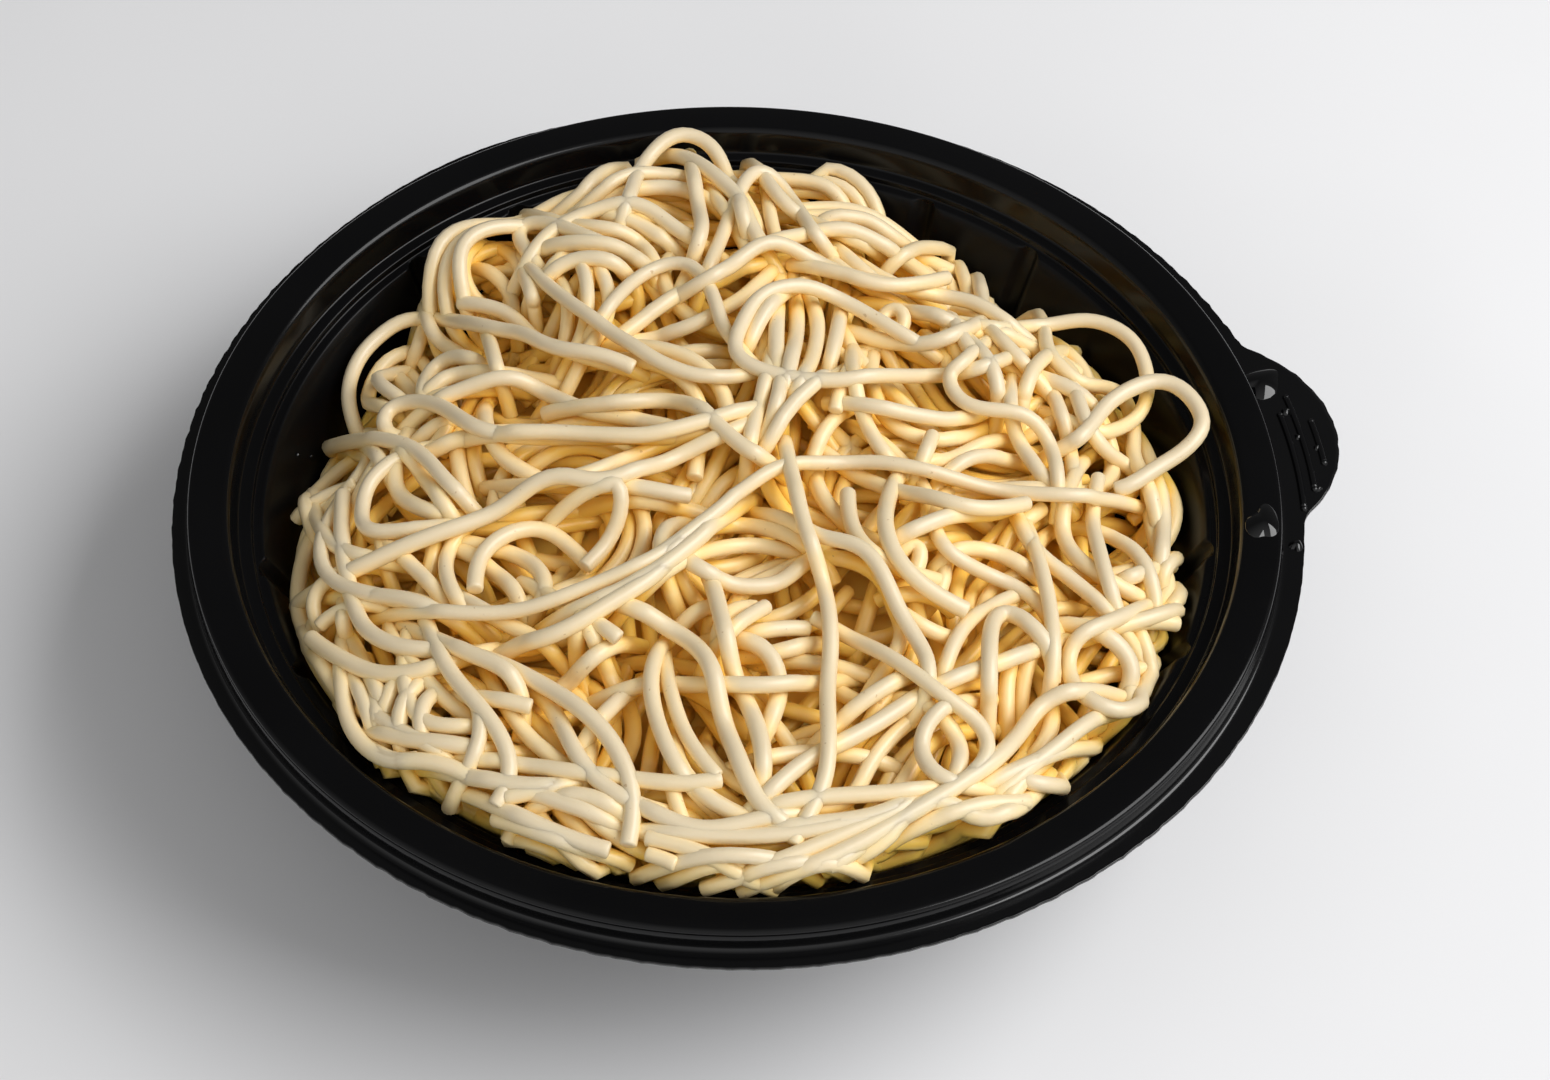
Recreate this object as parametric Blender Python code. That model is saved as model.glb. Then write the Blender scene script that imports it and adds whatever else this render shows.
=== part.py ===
"""Round black takeaway bowl, heaped with cooked noodles.

Metres, +Z up. The origin is at the centre of the bowl's underside, and the front of the bowl,
where the heap reaches highest up the wall, is towards -Y. Azimuths are in degrees,
counter-clockwise from +X.
"""

import math
import random

import bmesh
import bpy
from mathutils import Vector

WELD = 0.000002
SMOOTH_ANGLE = 35.0

# Bowl: one formed sheet, with depths measured down from the rim
HEIGHT = 0.048
RIM_RADIUS = 0.092
SHEET = 0.0006
RIM_INNER_RADIUS = 0.0863
RIM_CORNER = 0.0010
LID_LEDGE_RADIUS = 0.0843
LID_LEDGE_DEPTH = 0.0046
WALL_LEDGE_RADIUS = 0.0818
WALL_LEDGE_DEPTH = 0.0058
WALL_TOP_RADIUS = 0.0800
WALL_FOOT_RADIUS = 0.0628
BASE_FILLET = 0.0060
FILLET_SHARES = (0.0, 0.55, 1.0)
RISER_DRAFT = 0.0002
SKIRT_RADIUS = 0.0926
SKIRT_FILLET = 0.0007
FLANGE_DEPTH = 0.0041
FLANGE_RADIUS = 0.0960
FLANGE_SHIFT = 0.0006
COLUMN_ANGLE = 7.0
TAB_COLUMN_ANGLE = 2.6

# Flutes in the wall, in pairs
FLUTE_PAIRS = 5
FIRST_PAIR = 57.0
PAIR_HALF_ANGLE = 8.0
FLUTE_DEPTH = 0.0014
FLUTE_FADE = 0.0033
FLUTE_HALF_MOUTH = 1.65
FLUTE_HALF_FLOOR = 0.65

# Pull tab on the flange
TAB_AZIMUTH = 9.9
TAB_CENTRE = 0.0821
TAB_RADIUS = 0.0234
TAB_SPAN = (-6.0, 28.0)
TAB_HALF_ANGLE = 60.0
TAB_BLEND = 0.0012
GRIP_RIBS = ((0.1015, 5.0, 10.4), (0.0989, 1.6, 14.0), (0.0966, -1.0, 11.8))
RIB_HALF_FOOT = 0.0006
RIB_HALF_TOP = 0.0003
RIB_HEIGHT = 0.0005
RIB_STEP_ANGLE = 2.5

# Heap of noodles
CLEARANCE = 0.0003
CROWN = 0.009
CROWN_POWER = 2.6
CONTACT_DEPTHS = (
    (0, 0.014), (20, 0.015), (40, 0.016), (60, 0.015), (75, 0.009), (90, 0.004), (105, 0.003),
    (120, 0.007), (135, 0.014), (150, 0.017), (165, 0.017), (180, 0.014), (200, 0.011),
    (220, 0.009), (240, 0.008), (270, 0.007), (300, 0.008), (320, 0.009), (340, 0.011),
    (360, 0.014),
)
NOODLE_RADIUS = 0.0014
NOODLE_STEP = 0.0066
CORE_SINK = 0.0030
CORE_COLUMNS = 32
CORE_TOP_RINGS = 6
END_DIP = 0.0020
WALL_MARGIN = 0.0003
CURVE_STEPS = 16

# The noodles that lie uppermost or stand out of the heap: millimetres, with the third number
# the height of the noodle's middle above the rim
TOP_NOODLES = {
    "left_loop": ((-60, 2, -6), (-67, 18, -10), (-69, 28, -10), (-66, 37, -9), (-58, 42, -7),
                  (-46, 36, -1), (-31, 20, 6), (-17, 12, 8)),
    "back_loop": ((-21, 60, 1), (-18, 73, 3), (-12, 79, 5), (-6, 77, 4), (-2, 68, 1), (0, 58, 2)),
    "peak": ((-6, 40, 7), (-2, 57, 6), (1, 67, 6), (4, 70, 5), (8, 66, 2), (14, 54, 1)),
    "left_arch": ((-57, 39, -9), (-54, 52, -6), (-48, 56, -3), (-42, 54, -2), (-38, 45, 1),
                  (-36, 34, 3)),
    "right_loop": ((44, 38, -3), (54, 40, -4), (63, 41, -3), (70, 36, -3), (72, 26, -4),
                   (69, 18, -5), (62, 16, -5)),
    "right_bow": ((57, 10, -1), (66, 20, 0), (74, 24, 0), (79, 19, 0), (80, 12, 0), (73, 6, -2),
                  (64, 3, -4)),
    "far_left": ((-64, 1, -7), (-71, -6, -9), (-73, -18, -9), (-71, -30, -9), (-66, -40, -8),
                 (-57, -50, -7), (-47, -55, -5)),
    "left_sweep": ((-66, -1, -6), (-66, -17, -4), (-61, -31, -2), (-54, -37, 0), (-42, -41, 3),
                   (-32, -47, 4), (-22, -55, 3), (-17, -63, 0), (-16, -71, -4)),
    "front_run": ((8, -10, 10), (11, -23, 11), (15, -37, 9), (16, -48, 6), (15, -58, 3),
                  (12, -67, -1), (10, -72, -4)),
    "diagonal": ((-50, -33, 1), (-33, -35, 6), (-15, -27, 9), (-6, -19, 11), (4, -9, 12),
                 (10, -6, 12), (24, -4, 10), (44, -6, 5), (62, -1, -3)),
    "cross_run": ((-66, -21, -6), (-55, -18, 0), (-36, -14, 7), (-23, -10, 9), (-13, -6, 10),
                  (-3, 0, 9)),
    "inner_arch": ((-42, -31, 3), (-42, -24, 5), (-39, -20, 7), (-34, -18, 9), (-29, -20, 9),
                   (-23, -28, 7)),
    "right_curl": ((59, 26, -8), (62, 14, -5), (70, 7, -7), (71, -3, -8), (72, -12, -8),
                   (73, -18, -8), (64, -26, -4), (57, -32, -1), (54, -38, -1), (55, -44, -2),
                   (61, -46, -5), (66, -43, -7), (69, -37, -8), (68, -31, -8)),
    "right_run": ((62, 5, -5), (60, -7, -2), (61, -16, -2), (63, -24, -5)),
    "ridge": ((-6, 38, 7), (7, 48, 5), (19, 44, 4), (32, 45, 0), (44, 45, -5), (50, 40, -8)),
    "saddle": ((27, 30, 5), (15, 38, 6), (6, 37, 8), (0, 26, 10), (0, 18, 11), (12, 14, 11),
               (26, 17, 9), (38, 20, 5), (46, 28, -1)),
}

# The rest of the top layer: noodles that wander over the core towards bare ground
WANDERERS = 12
WANDER_SEED = 7
WANDER_STARTS = 150
WANDER_STEP = 0.0090
WANDER_LENGTH = (0.110, 0.190)
WANDER_TURNS = (-30, -15, 0, 15, 30)
WANDER_WOBBLE = 3.0
WANDER_INERTIA = 0.5
WANDER_LOOKAHEAD = 2.0
WANDER_REACH = 0.90
WANDER_LIMIT = 0.94
WANDER_SINK = 0.0004
GOLDEN_ANGLE = 137.508

# Colours, linear
BLACK_PLASTIC = (0.008, 0.008, 0.009, 1.0)
COOKED_NOODLE = (0.80, 0.62, 0.34, 1.0)


def clear_scene():
    for item in list(bpy.data.objects):
        bpy.data.objects.remove(item, do_unlink=True)


def material(name, colour, roughness):
    result = bpy.data.materials.new(name)
    result.use_nodes = True
    shader = result.node_tree.nodes["Principled BSDF"]
    shader.inputs["Base Color"].default_value = colour
    shader.inputs["Roughness"].default_value = roughness
    shader.inputs["Metallic"].default_value = 0.0
    return result


def closed_object(name, bm, look):
    """An object from a closed bmesh, its faces turned outwards."""
    bm.normal_update()
    bmesh.ops.recalc_face_normals(bm, faces=bm.faces)
    return finished_object(name, bm, look)


def finished_object(name, bm, look):
    """A named, smooth-shaded object with one material."""
    mesh = bpy.data.meshes.new(name)
    bm.to_mesh(mesh)
    bm.free()
    result = bpy.data.objects.new(name, mesh)
    bpy.context.collection.objects.link(result)
    mesh.materials.append(look)
    mesh.shade_smooth()
    mesh.set_sharp_from_angle(angle=math.radians(SMOOTH_ANGLE))
    return result


def polar(radius, degrees, height):
    turn = math.radians(degrees)
    return Vector((radius * math.cos(turn), radius * math.sin(turn), height))


def azimuth_of(point):
    return math.degrees(math.atan2(point[1], point[0])) % 360.0


def angle_between(azimuth, centre):
    return (azimuth - centre + 180.0) % 360.0 - 180.0


# Bowl


def flute_azimuths():
    step = 360.0 / FLUTE_PAIRS
    centres = [FIRST_PAIR + step * pair for pair in range(FLUTE_PAIRS)]
    return [centre + side * PAIR_HALF_ANGLE for centre in centres for side in (-1, 1)]


def flute_share(azimuth):
    """1 on the floor of a flute, 0 on the wall between the flutes."""
    nearest = min(abs(angle_between(azimuth, flute)) for flute in flute_azimuths())
    slope = (FLUTE_HALF_MOUTH - nearest) / (FLUTE_HALF_MOUTH - FLUTE_HALF_FLOOR)
    return min(1.0, max(0.0, slope))


def flange_edge(azimuth):
    """Radius of the cut edge: a trim circle a little off centre, and the round tab beyond it."""
    trim = FLANGE_RADIUS + FLANGE_SHIFT * math.cos(math.radians(azimuth))
    turn = math.radians(angle_between(azimuth, TAB_AZIMUTH))
    reach = TAB_RADIUS ** 2 - (TAB_CENTRE * math.sin(turn)) ** 2
    if reach <= 0.0 or abs(turn) > math.radians(TAB_HALF_ANGLE):
        return trim
    tab = TAB_CENTRE * math.cos(turn) + math.sqrt(reach)
    over = tab - trim
    return trim + 0.5 * (over + math.sqrt(over ** 2 + TAB_BLEND ** 2))


def bowl_columns():
    """Azimuths of the bowl's columns: four at each flute, finer across the tab, even between."""
    fixed = []
    for flute in flute_azimuths():
        for offset in (-FLUTE_HALF_MOUTH, -FLUTE_HALF_FLOOR, FLUTE_HALF_FLOOR, FLUTE_HALF_MOUTH):
            fixed.append((flute + offset) % 360.0)
    fixed.sort()
    columns = []
    for start, end in zip(fixed, fixed[1:] + [fixed[0] + 360.0]):
        middle = 0.5 * (start + end)
        near_tab = TAB_SPAN[0] < angle_between(middle, 0.0) < TAB_SPAN[1]
        pieces = max(1, round((end - start) / (TAB_COLUMN_ANGLE if near_tab else COLUMN_ANGLE)))
        columns += [start + (end - start) * step / pieces for step in range(pieces)]
    return columns


def wall_radius(height):
    """Radius of the wall's inside between the flutes."""
    top = HEIGHT - WALL_LEDGE_DEPTH
    foot = SHEET + BASE_FILLET
    share = min(1.0, (height - foot) / (top - foot))
    return WALL_FOOT_RADIUS + (WALL_TOP_RADIUS - WALL_FOOT_RADIUS) * share


def fillet_point(share):
    """A point on the round between the floor and the wall: 0 at the floor, 1 at the wall."""
    turn = 0.5 * math.pi * share
    radius = WALL_FOOT_RADIUS - BASE_FILLET * (1.0 - math.sin(turn))
    return radius, SHEET + BASE_FILLET * (1.0 - math.cos(turn))


def bowl_profile():
    """Radius and height of each ring of the upper surface, from the middle out to the cut edge."""
    foot = SHEET + BASE_FILLET
    wall_top = HEIGHT - WALL_LEDGE_DEPTH
    lid_ledge = HEIGHT - LID_LEDGE_DEPTH
    flange = HEIGHT - FLANGE_DEPTH
    return [
        ("floor", 0.0, SHEET),
        *(("floor", *fillet_point(share)) for share in FILLET_SHARES),
        ("wall", wall_radius(foot + FLUTE_FADE), foot + FLUTE_FADE),
        ("wall", WALL_TOP_RADIUS, wall_top),
        ("ledge", WALL_LEDGE_RADIUS, wall_top),
        ("ledge", WALL_LEDGE_RADIUS + RISER_DRAFT, lid_ledge),
        ("ledge", LID_LEDGE_RADIUS, lid_ledge),
        ("rim", RIM_INNER_RADIUS - RIM_CORNER, HEIGHT - RIM_CORNER),
        ("rim", RIM_INNER_RADIUS, HEIGHT),
        ("rim", RIM_RADIUS - SKIRT_FILLET, HEIGHT),
        ("rim", RIM_RADIUS, HEIGHT - SKIRT_FILLET),
        ("skirt", SKIRT_RADIUS, flange + SKIRT_FILLET),
        ("skirt", SKIRT_RADIUS + SKIRT_FILLET, flange),
        ("cut_edge", FLANGE_RADIUS, flange),
    ]


def bowl_sheet():
    """Turns the profile column by column, then presses the flutes and the tab into it."""
    profile = bowl_profile()
    columns = bowl_columns()
    bm = bmesh.new()
    ring = bm.verts.layers.int.new("ring")
    verts = []
    for index, (_, radius, height) in enumerate(profile):
        vert = bm.verts.new(polar(radius, columns[0], height))
        vert[ring] = index
        verts.append(vert)
    last = verts + [bm.edges.new(pair) for pair in zip(verts, verts[1:])]
    for start, end in zip(columns, columns[1:] + [columns[0] + 360.0]):
        turned = bmesh.ops.spin(
            bm, geom=last, cent=(0, 0, 0), axis=(0, 0, 1), angle=math.radians(end - start),
            steps=1, use_duplicate=False, use_merge=False)
        last = turned["geom_last"]
    bmesh.ops.remove_doubles(bm, verts=bm.verts, dist=WELD)
    for vert in bm.verts:
        place = profile[vert[ring]][0]
        radius = math.hypot(vert.co.x, vert.co.y)
        azimuth = azimuth_of(vert.co)
        if place == "wall":
            vert.co = polar(radius + FLUTE_DEPTH * flute_share(azimuth), azimuth, vert.co.z)
        if place == "cut_edge":
            vert.co = polar(flange_edge(azimuth), azimuth, vert.co.z)
    bm.normal_update()
    if sum(face.normal.z for face in bm.faces) < 0:
        bmesh.ops.reverse_faces(bm, faces=bm.faces)
    return bm


def grip_rib(radius, start, end):
    """One raised rib: a low trapezoid swept along an arc about the bowl's axis."""
    top = HEIGHT - FLANGE_DEPTH
    foot = top - 0.5 * SHEET
    section = [
        (radius - RIB_HALF_FOOT, foot), (radius + RIB_HALF_FOOT, foot),
        (radius + RIB_HALF_TOP, top + RIB_HEIGHT), (radius - RIB_HALF_TOP, top + RIB_HEIGHT)]
    bm = bmesh.new()
    face = bm.faces.new([bm.verts.new(polar(r, start, z)) for r, z in section])
    bmesh.ops.spin(
        bm, geom=[face], cent=(0, 0, 0), axis=(0, 0, 1), angle=math.radians(end - start),
        steps=round((end - start) / RIB_STEP_ANGLE), use_duplicate=False, use_merge=False)
    return bm


def make_bowl(look):
    sheet = finished_object("bowl", bowl_sheet(), look)
    thickness = sheet.modifiers.new("sheet", "SOLIDIFY")
    thickness.thickness = SHEET
    thickness.offset = -1.0
    thickness.use_even_offset = True
    ribs = new_collection("grip_ribs")
    for index, (radius, start, end) in enumerate(GRIP_RIBS):
        rib = closed_object("grip_rib_%d" % index, grip_rib(radius, start, end), look)
        move_to(ribs, rib)
    fuse(sheet, ribs, "EXACT")


def new_collection(name):
    result = bpy.data.collections.new(name)
    bpy.context.scene.collection.children.link(result)
    return result


def move_to(collection, item):
    bpy.context.collection.objects.unlink(item)
    collection.objects.link(item)


def fuse(target, collection, solver):
    """Joins every object of a collection to the target, then removes them."""
    union = target.modifiers.new("union", "BOOLEAN")
    union.operation = "UNION"
    union.operand_type = "COLLECTION"
    union.collection = collection
    union.solver = solver
    graph = bpy.context.evaluated_depsgraph_get()
    joined = bpy.data.meshes.new_from_object(target.evaluated_get(graph))
    target.modifiers.clear()
    old = target.data
    target.data = joined
    joined.name = target.name
    bpy.data.meshes.remove(old)
    for item in list(collection.objects):
        bpy.data.objects.remove(item, do_unlink=True)
    bpy.data.collections.remove(collection)


# Heap


def contact_depth(azimuth):
    """Depth below the rim at which the heap meets the wall."""
    azimuth %= 360.0
    for (before, low), (after, high) in zip(CONTACT_DEPTHS, CONTACT_DEPTHS[1:]):
        if azimuth <= after:
            share = (azimuth - before) / (after - before)
            share = share * share * (3.0 - 2.0 * share)
            return low + (high - low) * share
    return CONTACT_DEPTHS[-1][1]


def heap_share(spot):
    """0 at the middle of the heap, 1 where it meets the wall."""
    edge = HEIGHT - contact_depth(azimuth_of(spot))
    return math.hypot(spot[0], spot[1]) / wall_radius(edge)


def heap_height(x, y):
    """Height of the heap's surface, as laid by the noodles on top."""
    edge = HEIGHT - contact_depth(azimuth_of((x, y)))
    return HEIGHT + CROWN - (HEIGHT + CROWN - edge) * heap_share((x, y)) ** CROWN_POWER


def noodle_sections(points, step):
    """Evenly spaced points on one smooth curve through the given points."""
    ends = [points[0] * 2 - points[1]] + points + [points[-1] * 2 - points[-2]]
    fine = []
    for before, start, end, after in zip(ends, ends[1:], ends[2:], ends[3:]):
        for index in range(CURVE_STEPS):
            share = index / CURVE_STEPS
            fine.append(0.5 * (
                2 * start + (end - before) * share
                + (2 * before - 5 * start + 4 * end - after) * share ** 2
                + (3 * start - before - 3 * end + after) * share ** 3))
    fine.append(points[-1])
    length = sum((b - a).length for a, b in zip(fine, fine[1:]))
    count = max(2, round(length / step))
    even = [fine[0]]
    walked = 0.0
    for a, b in zip(fine, fine[1:]):
        walked += (b - a).length
        if walked >= len(even) * length / count and len(even) < count:
            even.append(b)
    even.append(fine[-1])
    return even


def laid_in_bowl(points):
    """Keeps a noodle clear of the wall and its ledges, and lets both its ends dive into the core."""
    laid = []
    for index, point in enumerate(points):
        height = point.z
        if index in (0, len(points) - 1):
            height = heap_height(point.x, point.y) - CORE_SINK - END_DIP
        bottom = height - NOODLE_RADIUS - CLEARANCE
        ledge = HEIGHT - LID_LEDGE_DEPTH
        wall = LID_LEDGE_RADIUS if bottom > ledge else wall_radius(bottom)
        reach = wall - CLEARANCE - WALL_MARGIN - NOODLE_RADIUS
        radius = math.hypot(point.x, point.y)
        pull = min(1.0, reach / radius) if radius else 1.0
        laid.append(Vector((point.x * pull, point.y * pull, height)))
    return laid


def noodle(name, points, radius):
    """A closed tube of a few sides along the points."""
    curve = bpy.data.curves.new(name, "CURVE")
    curve.dimensions = "3D"
    curve.bevel_depth = radius
    curve.bevel_resolution = 1
    curve.use_fill_caps = True
    spline = curve.splines.new("POLY")
    spline.points.add(len(points) - 1)
    for place, point in zip(spline.points, points):
        place.co = (point.x, point.y, point.z, 1.0)
    guide = bpy.data.objects.new(name, curve)
    bpy.context.collection.objects.link(guide)
    bpy.context.view_layer.update()
    graph = bpy.context.evaluated_depsgraph_get()
    mesh = bpy.data.meshes.new_from_object(guide.evaluated_get(graph))
    bpy.data.objects.remove(guide, do_unlink=True)
    bm = bmesh.new()
    bm.from_mesh(mesh)
    bpy.data.meshes.remove(mesh)
    bmesh.ops.remove_doubles(bm, verts=bm.verts, dist=WELD)
    return bm


def bareness(spot, laid):
    """Distance from a spot on the heap to the nearest noodle already laid there."""
    return min((other - spot).length for other in laid)


def barest_spot(laid):
    """The place on the heap furthest from every noodle, among spots spread evenly over it."""
    spots = []
    for index in range(WANDER_STARTS):
        radius = WANDER_REACH * WALL_TOP_RADIUS * math.sqrt((index + 0.5) / WANDER_STARTS)
        spots.append(polar(radius, GOLDEN_ANGLE * index, 0.0))
    inside = [spot for spot in spots if heap_share(spot) < WANDER_REACH]
    return max(inside, key=lambda spot: bareness(spot, laid))


def wanderer(rng, laid):
    """One noodle that starts at the barest spot and keeps turning towards bare ground."""
    place = barest_spot(laid)
    heading = rng.uniform(0.0, math.tau)
    bend = 0.0
    flat = []
    for _ in range(round(rng.uniform(*WANDER_LENGTH) / WANDER_STEP)):
        flat.append(place)
        choices = []
        for turn in WANDER_TURNS:
            new_bend = WANDER_INERTIA * bend + math.radians(
                turn + rng.uniform(-WANDER_WOBBLE, WANDER_WOBBLE))
            course = heading + new_bend
            step = WANDER_STEP * Vector((math.cos(course), math.sin(course), 0.0))
            ahead = place + WANDER_LOOKAHEAD * step
            outside = max(0.0, heap_share(ahead) - WANDER_REACH)
            choices.append((bareness(ahead, laid) - outside, new_bend, course, place + step))
        _, bend, heading, place = max(choices, key=lambda choice: choice[0])
        if heap_share(place) > WANDER_LIMIT:
            break
    laid += flat
    return [Vector((p.x, p.y, heap_height(p.x, p.y) - WANDER_SINK)) for p in flat]


def core_rings(azimuth):
    """Radius and height of the core's rings at one azimuth, from the floor's middle to the crown."""
    gap = CLEARANCE + WALL_MARGIN
    edge = HEIGHT - contact_depth(azimuth) - CORE_SINK
    reach = wall_radius(edge) - gap
    rings = [(0.0, SHEET + CLEARANCE)]
    for share in FILLET_SHARES:
        radius, height = fillet_point(share)
        rings.append((radius - gap, height + CLEARANCE))
    rings.append((reach, edge))
    for index in range(CORE_TOP_RINGS, 0, -1):
        radius = reach * index / (CORE_TOP_RINGS + 1)
        spot = polar(radius, azimuth, 0.0)
        rings.append((radius, heap_height(spot.x, spot.y) - CORE_SINK))
    rings.append((0.0, heap_height(0.0, 0.0) - CORE_SINK))
    return rings


def heap_core():
    """The bare core: it follows the bowl inside and stays below the noodles on top."""
    bm = bmesh.new()
    ring = bm.verts.layers.int.new("ring")
    verts = []
    for index, (radius, height) in enumerate(core_rings(0.0)):
        vert = bm.verts.new((radius, 0.0, height))
        vert[ring] = index
        verts.append(vert)
    edges = [bm.edges.new(pair) for pair in zip(verts, verts[1:])]
    bmesh.ops.spin(
        bm, geom=verts + edges, cent=(0, 0, 0), axis=(0, 0, 1), angle=math.tau,
        steps=CORE_COLUMNS, use_merge=True, use_duplicate=False)
    bmesh.ops.remove_doubles(bm, verts=bm.verts, dist=WELD)
    for vert in bm.verts:
        azimuth = azimuth_of(vert.co)
        radius, height = core_rings(azimuth)[vert[ring]]
        vert.co = polar(radius, azimuth, height)
    return bm


def keep_outer_skin(bm):
    """Fills hollows that fusing sealed and drops loose scraps: only the largest skin stays."""
    left = set(bm.faces)
    skins = []
    while left:
        front = [left.pop()]
        skin = list(front)
        while front:
            face = front.pop()
            near = {other for edge in face.edges for other in edge.link_faces}
            near &= left
            left -= near
            front += near
            skin += near
        skins.append(skin)
    skins.sort(key=len)
    for skin in skins[:-1]:
        bmesh.ops.delete(bm, geom=skin, context="FACES")


def noodle_paths():
    """The middle line of every noodle on the core, by name."""
    paths = {}
    for name, points in TOP_NOODLES.items():
        spots = [Vector((x / 1000, y / 1000, HEIGHT + z / 1000)) for x, y, z in points]
        paths[name] = noodle_sections(spots, NOODLE_STEP)
    laid = [Vector((p.x, p.y, 0.0)) for points in paths.values() for p in points]
    rng = random.Random(WANDER_SEED)
    for index in range(WANDERERS):
        paths["wanderer_%02d" % index] = wanderer(rng, laid)
    return paths


def make_noodles(look):
    heap = closed_object("noodles", heap_core(), look)
    strands = new_collection("strands")
    for name, points in noodle_paths().items():
        tube = noodle(name, laid_in_bowl(points), NOODLE_RADIUS)
        move_to(strands, closed_object(name, tube, look))
    fuse(heap, strands, "MANIFOLD")
    bm = bmesh.new()
    bm.from_mesh(heap.data)
    keep_outer_skin(bm)
    bm.to_mesh(heap.data)
    bm.free()


def main():
    clear_scene()
    make_bowl(material("black_plastic", BLACK_PLASTIC, 0.25))
    make_noodles(material("cooked_noodle", COOKED_NOODLE, 0.4))


main()
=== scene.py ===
"""Looks of a round black takeaway bowl heaped with cooked noodles.

The bowl's sheet is turned finer than its solid, with its flutes, its pull tab and its trimmed
edge. The noodles are laid one at a time on a height map of what lies below them: first the
many that fill the heap, each steered to the lowest ground, then the ones that lie on top.
"""

import math
import random

import bmesh
import bpy
import numpy as np
from bpy.props import FloatProperty, FloatVectorProperty, IntProperty, PointerProperty
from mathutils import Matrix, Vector


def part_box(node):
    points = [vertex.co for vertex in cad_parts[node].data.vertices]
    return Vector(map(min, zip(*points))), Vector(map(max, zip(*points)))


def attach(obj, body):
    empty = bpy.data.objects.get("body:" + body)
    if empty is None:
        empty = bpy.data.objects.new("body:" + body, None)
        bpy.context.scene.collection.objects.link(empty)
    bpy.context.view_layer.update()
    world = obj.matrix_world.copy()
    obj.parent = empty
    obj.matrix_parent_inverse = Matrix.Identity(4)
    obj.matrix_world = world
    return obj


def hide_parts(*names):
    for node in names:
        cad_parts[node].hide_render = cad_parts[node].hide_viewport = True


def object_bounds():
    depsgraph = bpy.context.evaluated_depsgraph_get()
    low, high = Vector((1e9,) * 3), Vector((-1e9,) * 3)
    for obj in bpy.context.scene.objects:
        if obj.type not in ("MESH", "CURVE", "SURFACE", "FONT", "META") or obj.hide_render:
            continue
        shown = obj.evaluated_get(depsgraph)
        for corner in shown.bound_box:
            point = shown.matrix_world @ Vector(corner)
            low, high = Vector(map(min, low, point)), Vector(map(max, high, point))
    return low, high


bl_info = {
    "name": "Noodle Takeaway Bowl",
    "version": (1, 0, 0),
    "blender": (4, 5, 0),
    "location": "View3D > Sidebar > Takeaway",
    "description": "Builds a round black takeaway bowl heaped with cooked noodles",
    "category": "Add Mesh",
}

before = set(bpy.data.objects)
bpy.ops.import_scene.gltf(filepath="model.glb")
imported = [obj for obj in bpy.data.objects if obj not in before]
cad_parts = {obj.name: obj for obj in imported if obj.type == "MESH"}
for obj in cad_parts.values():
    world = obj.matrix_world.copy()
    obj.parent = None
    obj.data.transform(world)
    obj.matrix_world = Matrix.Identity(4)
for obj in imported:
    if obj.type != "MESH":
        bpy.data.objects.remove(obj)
CAD_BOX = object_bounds()
BOWL_LOW, BOWL_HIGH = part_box("bowl")
RIM = float(BOWL_HIGH[2])
TOP_LIMIT = float(CAD_BOX[1][2])
MM = 0.001

# Azimuth in degrees and depth below the rim, in mm, at which the heap meets the wall
CONTACT_DEPTHS = (
    (0, 14), (20, 15), (40, 16), (60, 15), (75, 9), (90, 4), (105, 3), (120, 7), (135, 14),
    (150, 17), (165, 17), (180, 14), (200, 11), (215, 7), (230, 4.6), (245, 3.8), (270, 3.4),
    (295, 3.8), (315, 6), (340, 11), (360, 14),
)

# Azimuth in degrees and depth in mm of the gap between the heap and the wall
CLEAR_DEPTHS = (
    (0, 11), (60, 11), (80, 7), (95, 4), (110, 6), (130, 11), (185, 11), (205, 5), (225, 0),
    (310, 0), (335, 6), (360, 11),
)

# Where the photograph was taken from, the camera's turns in degrees and its focal length in
# widths of the picture, and the height over the even heap at which the table's noodles are seen
CAMERA_PLACE = (0.0, -0.35797, 0.45432)
CAMERA_TURNS = (40.1963, -1.2744, 0.4156)
CAMERA_REACH = 3200 / 1550
SEEN_LIFT = 1.6 * MM

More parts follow.
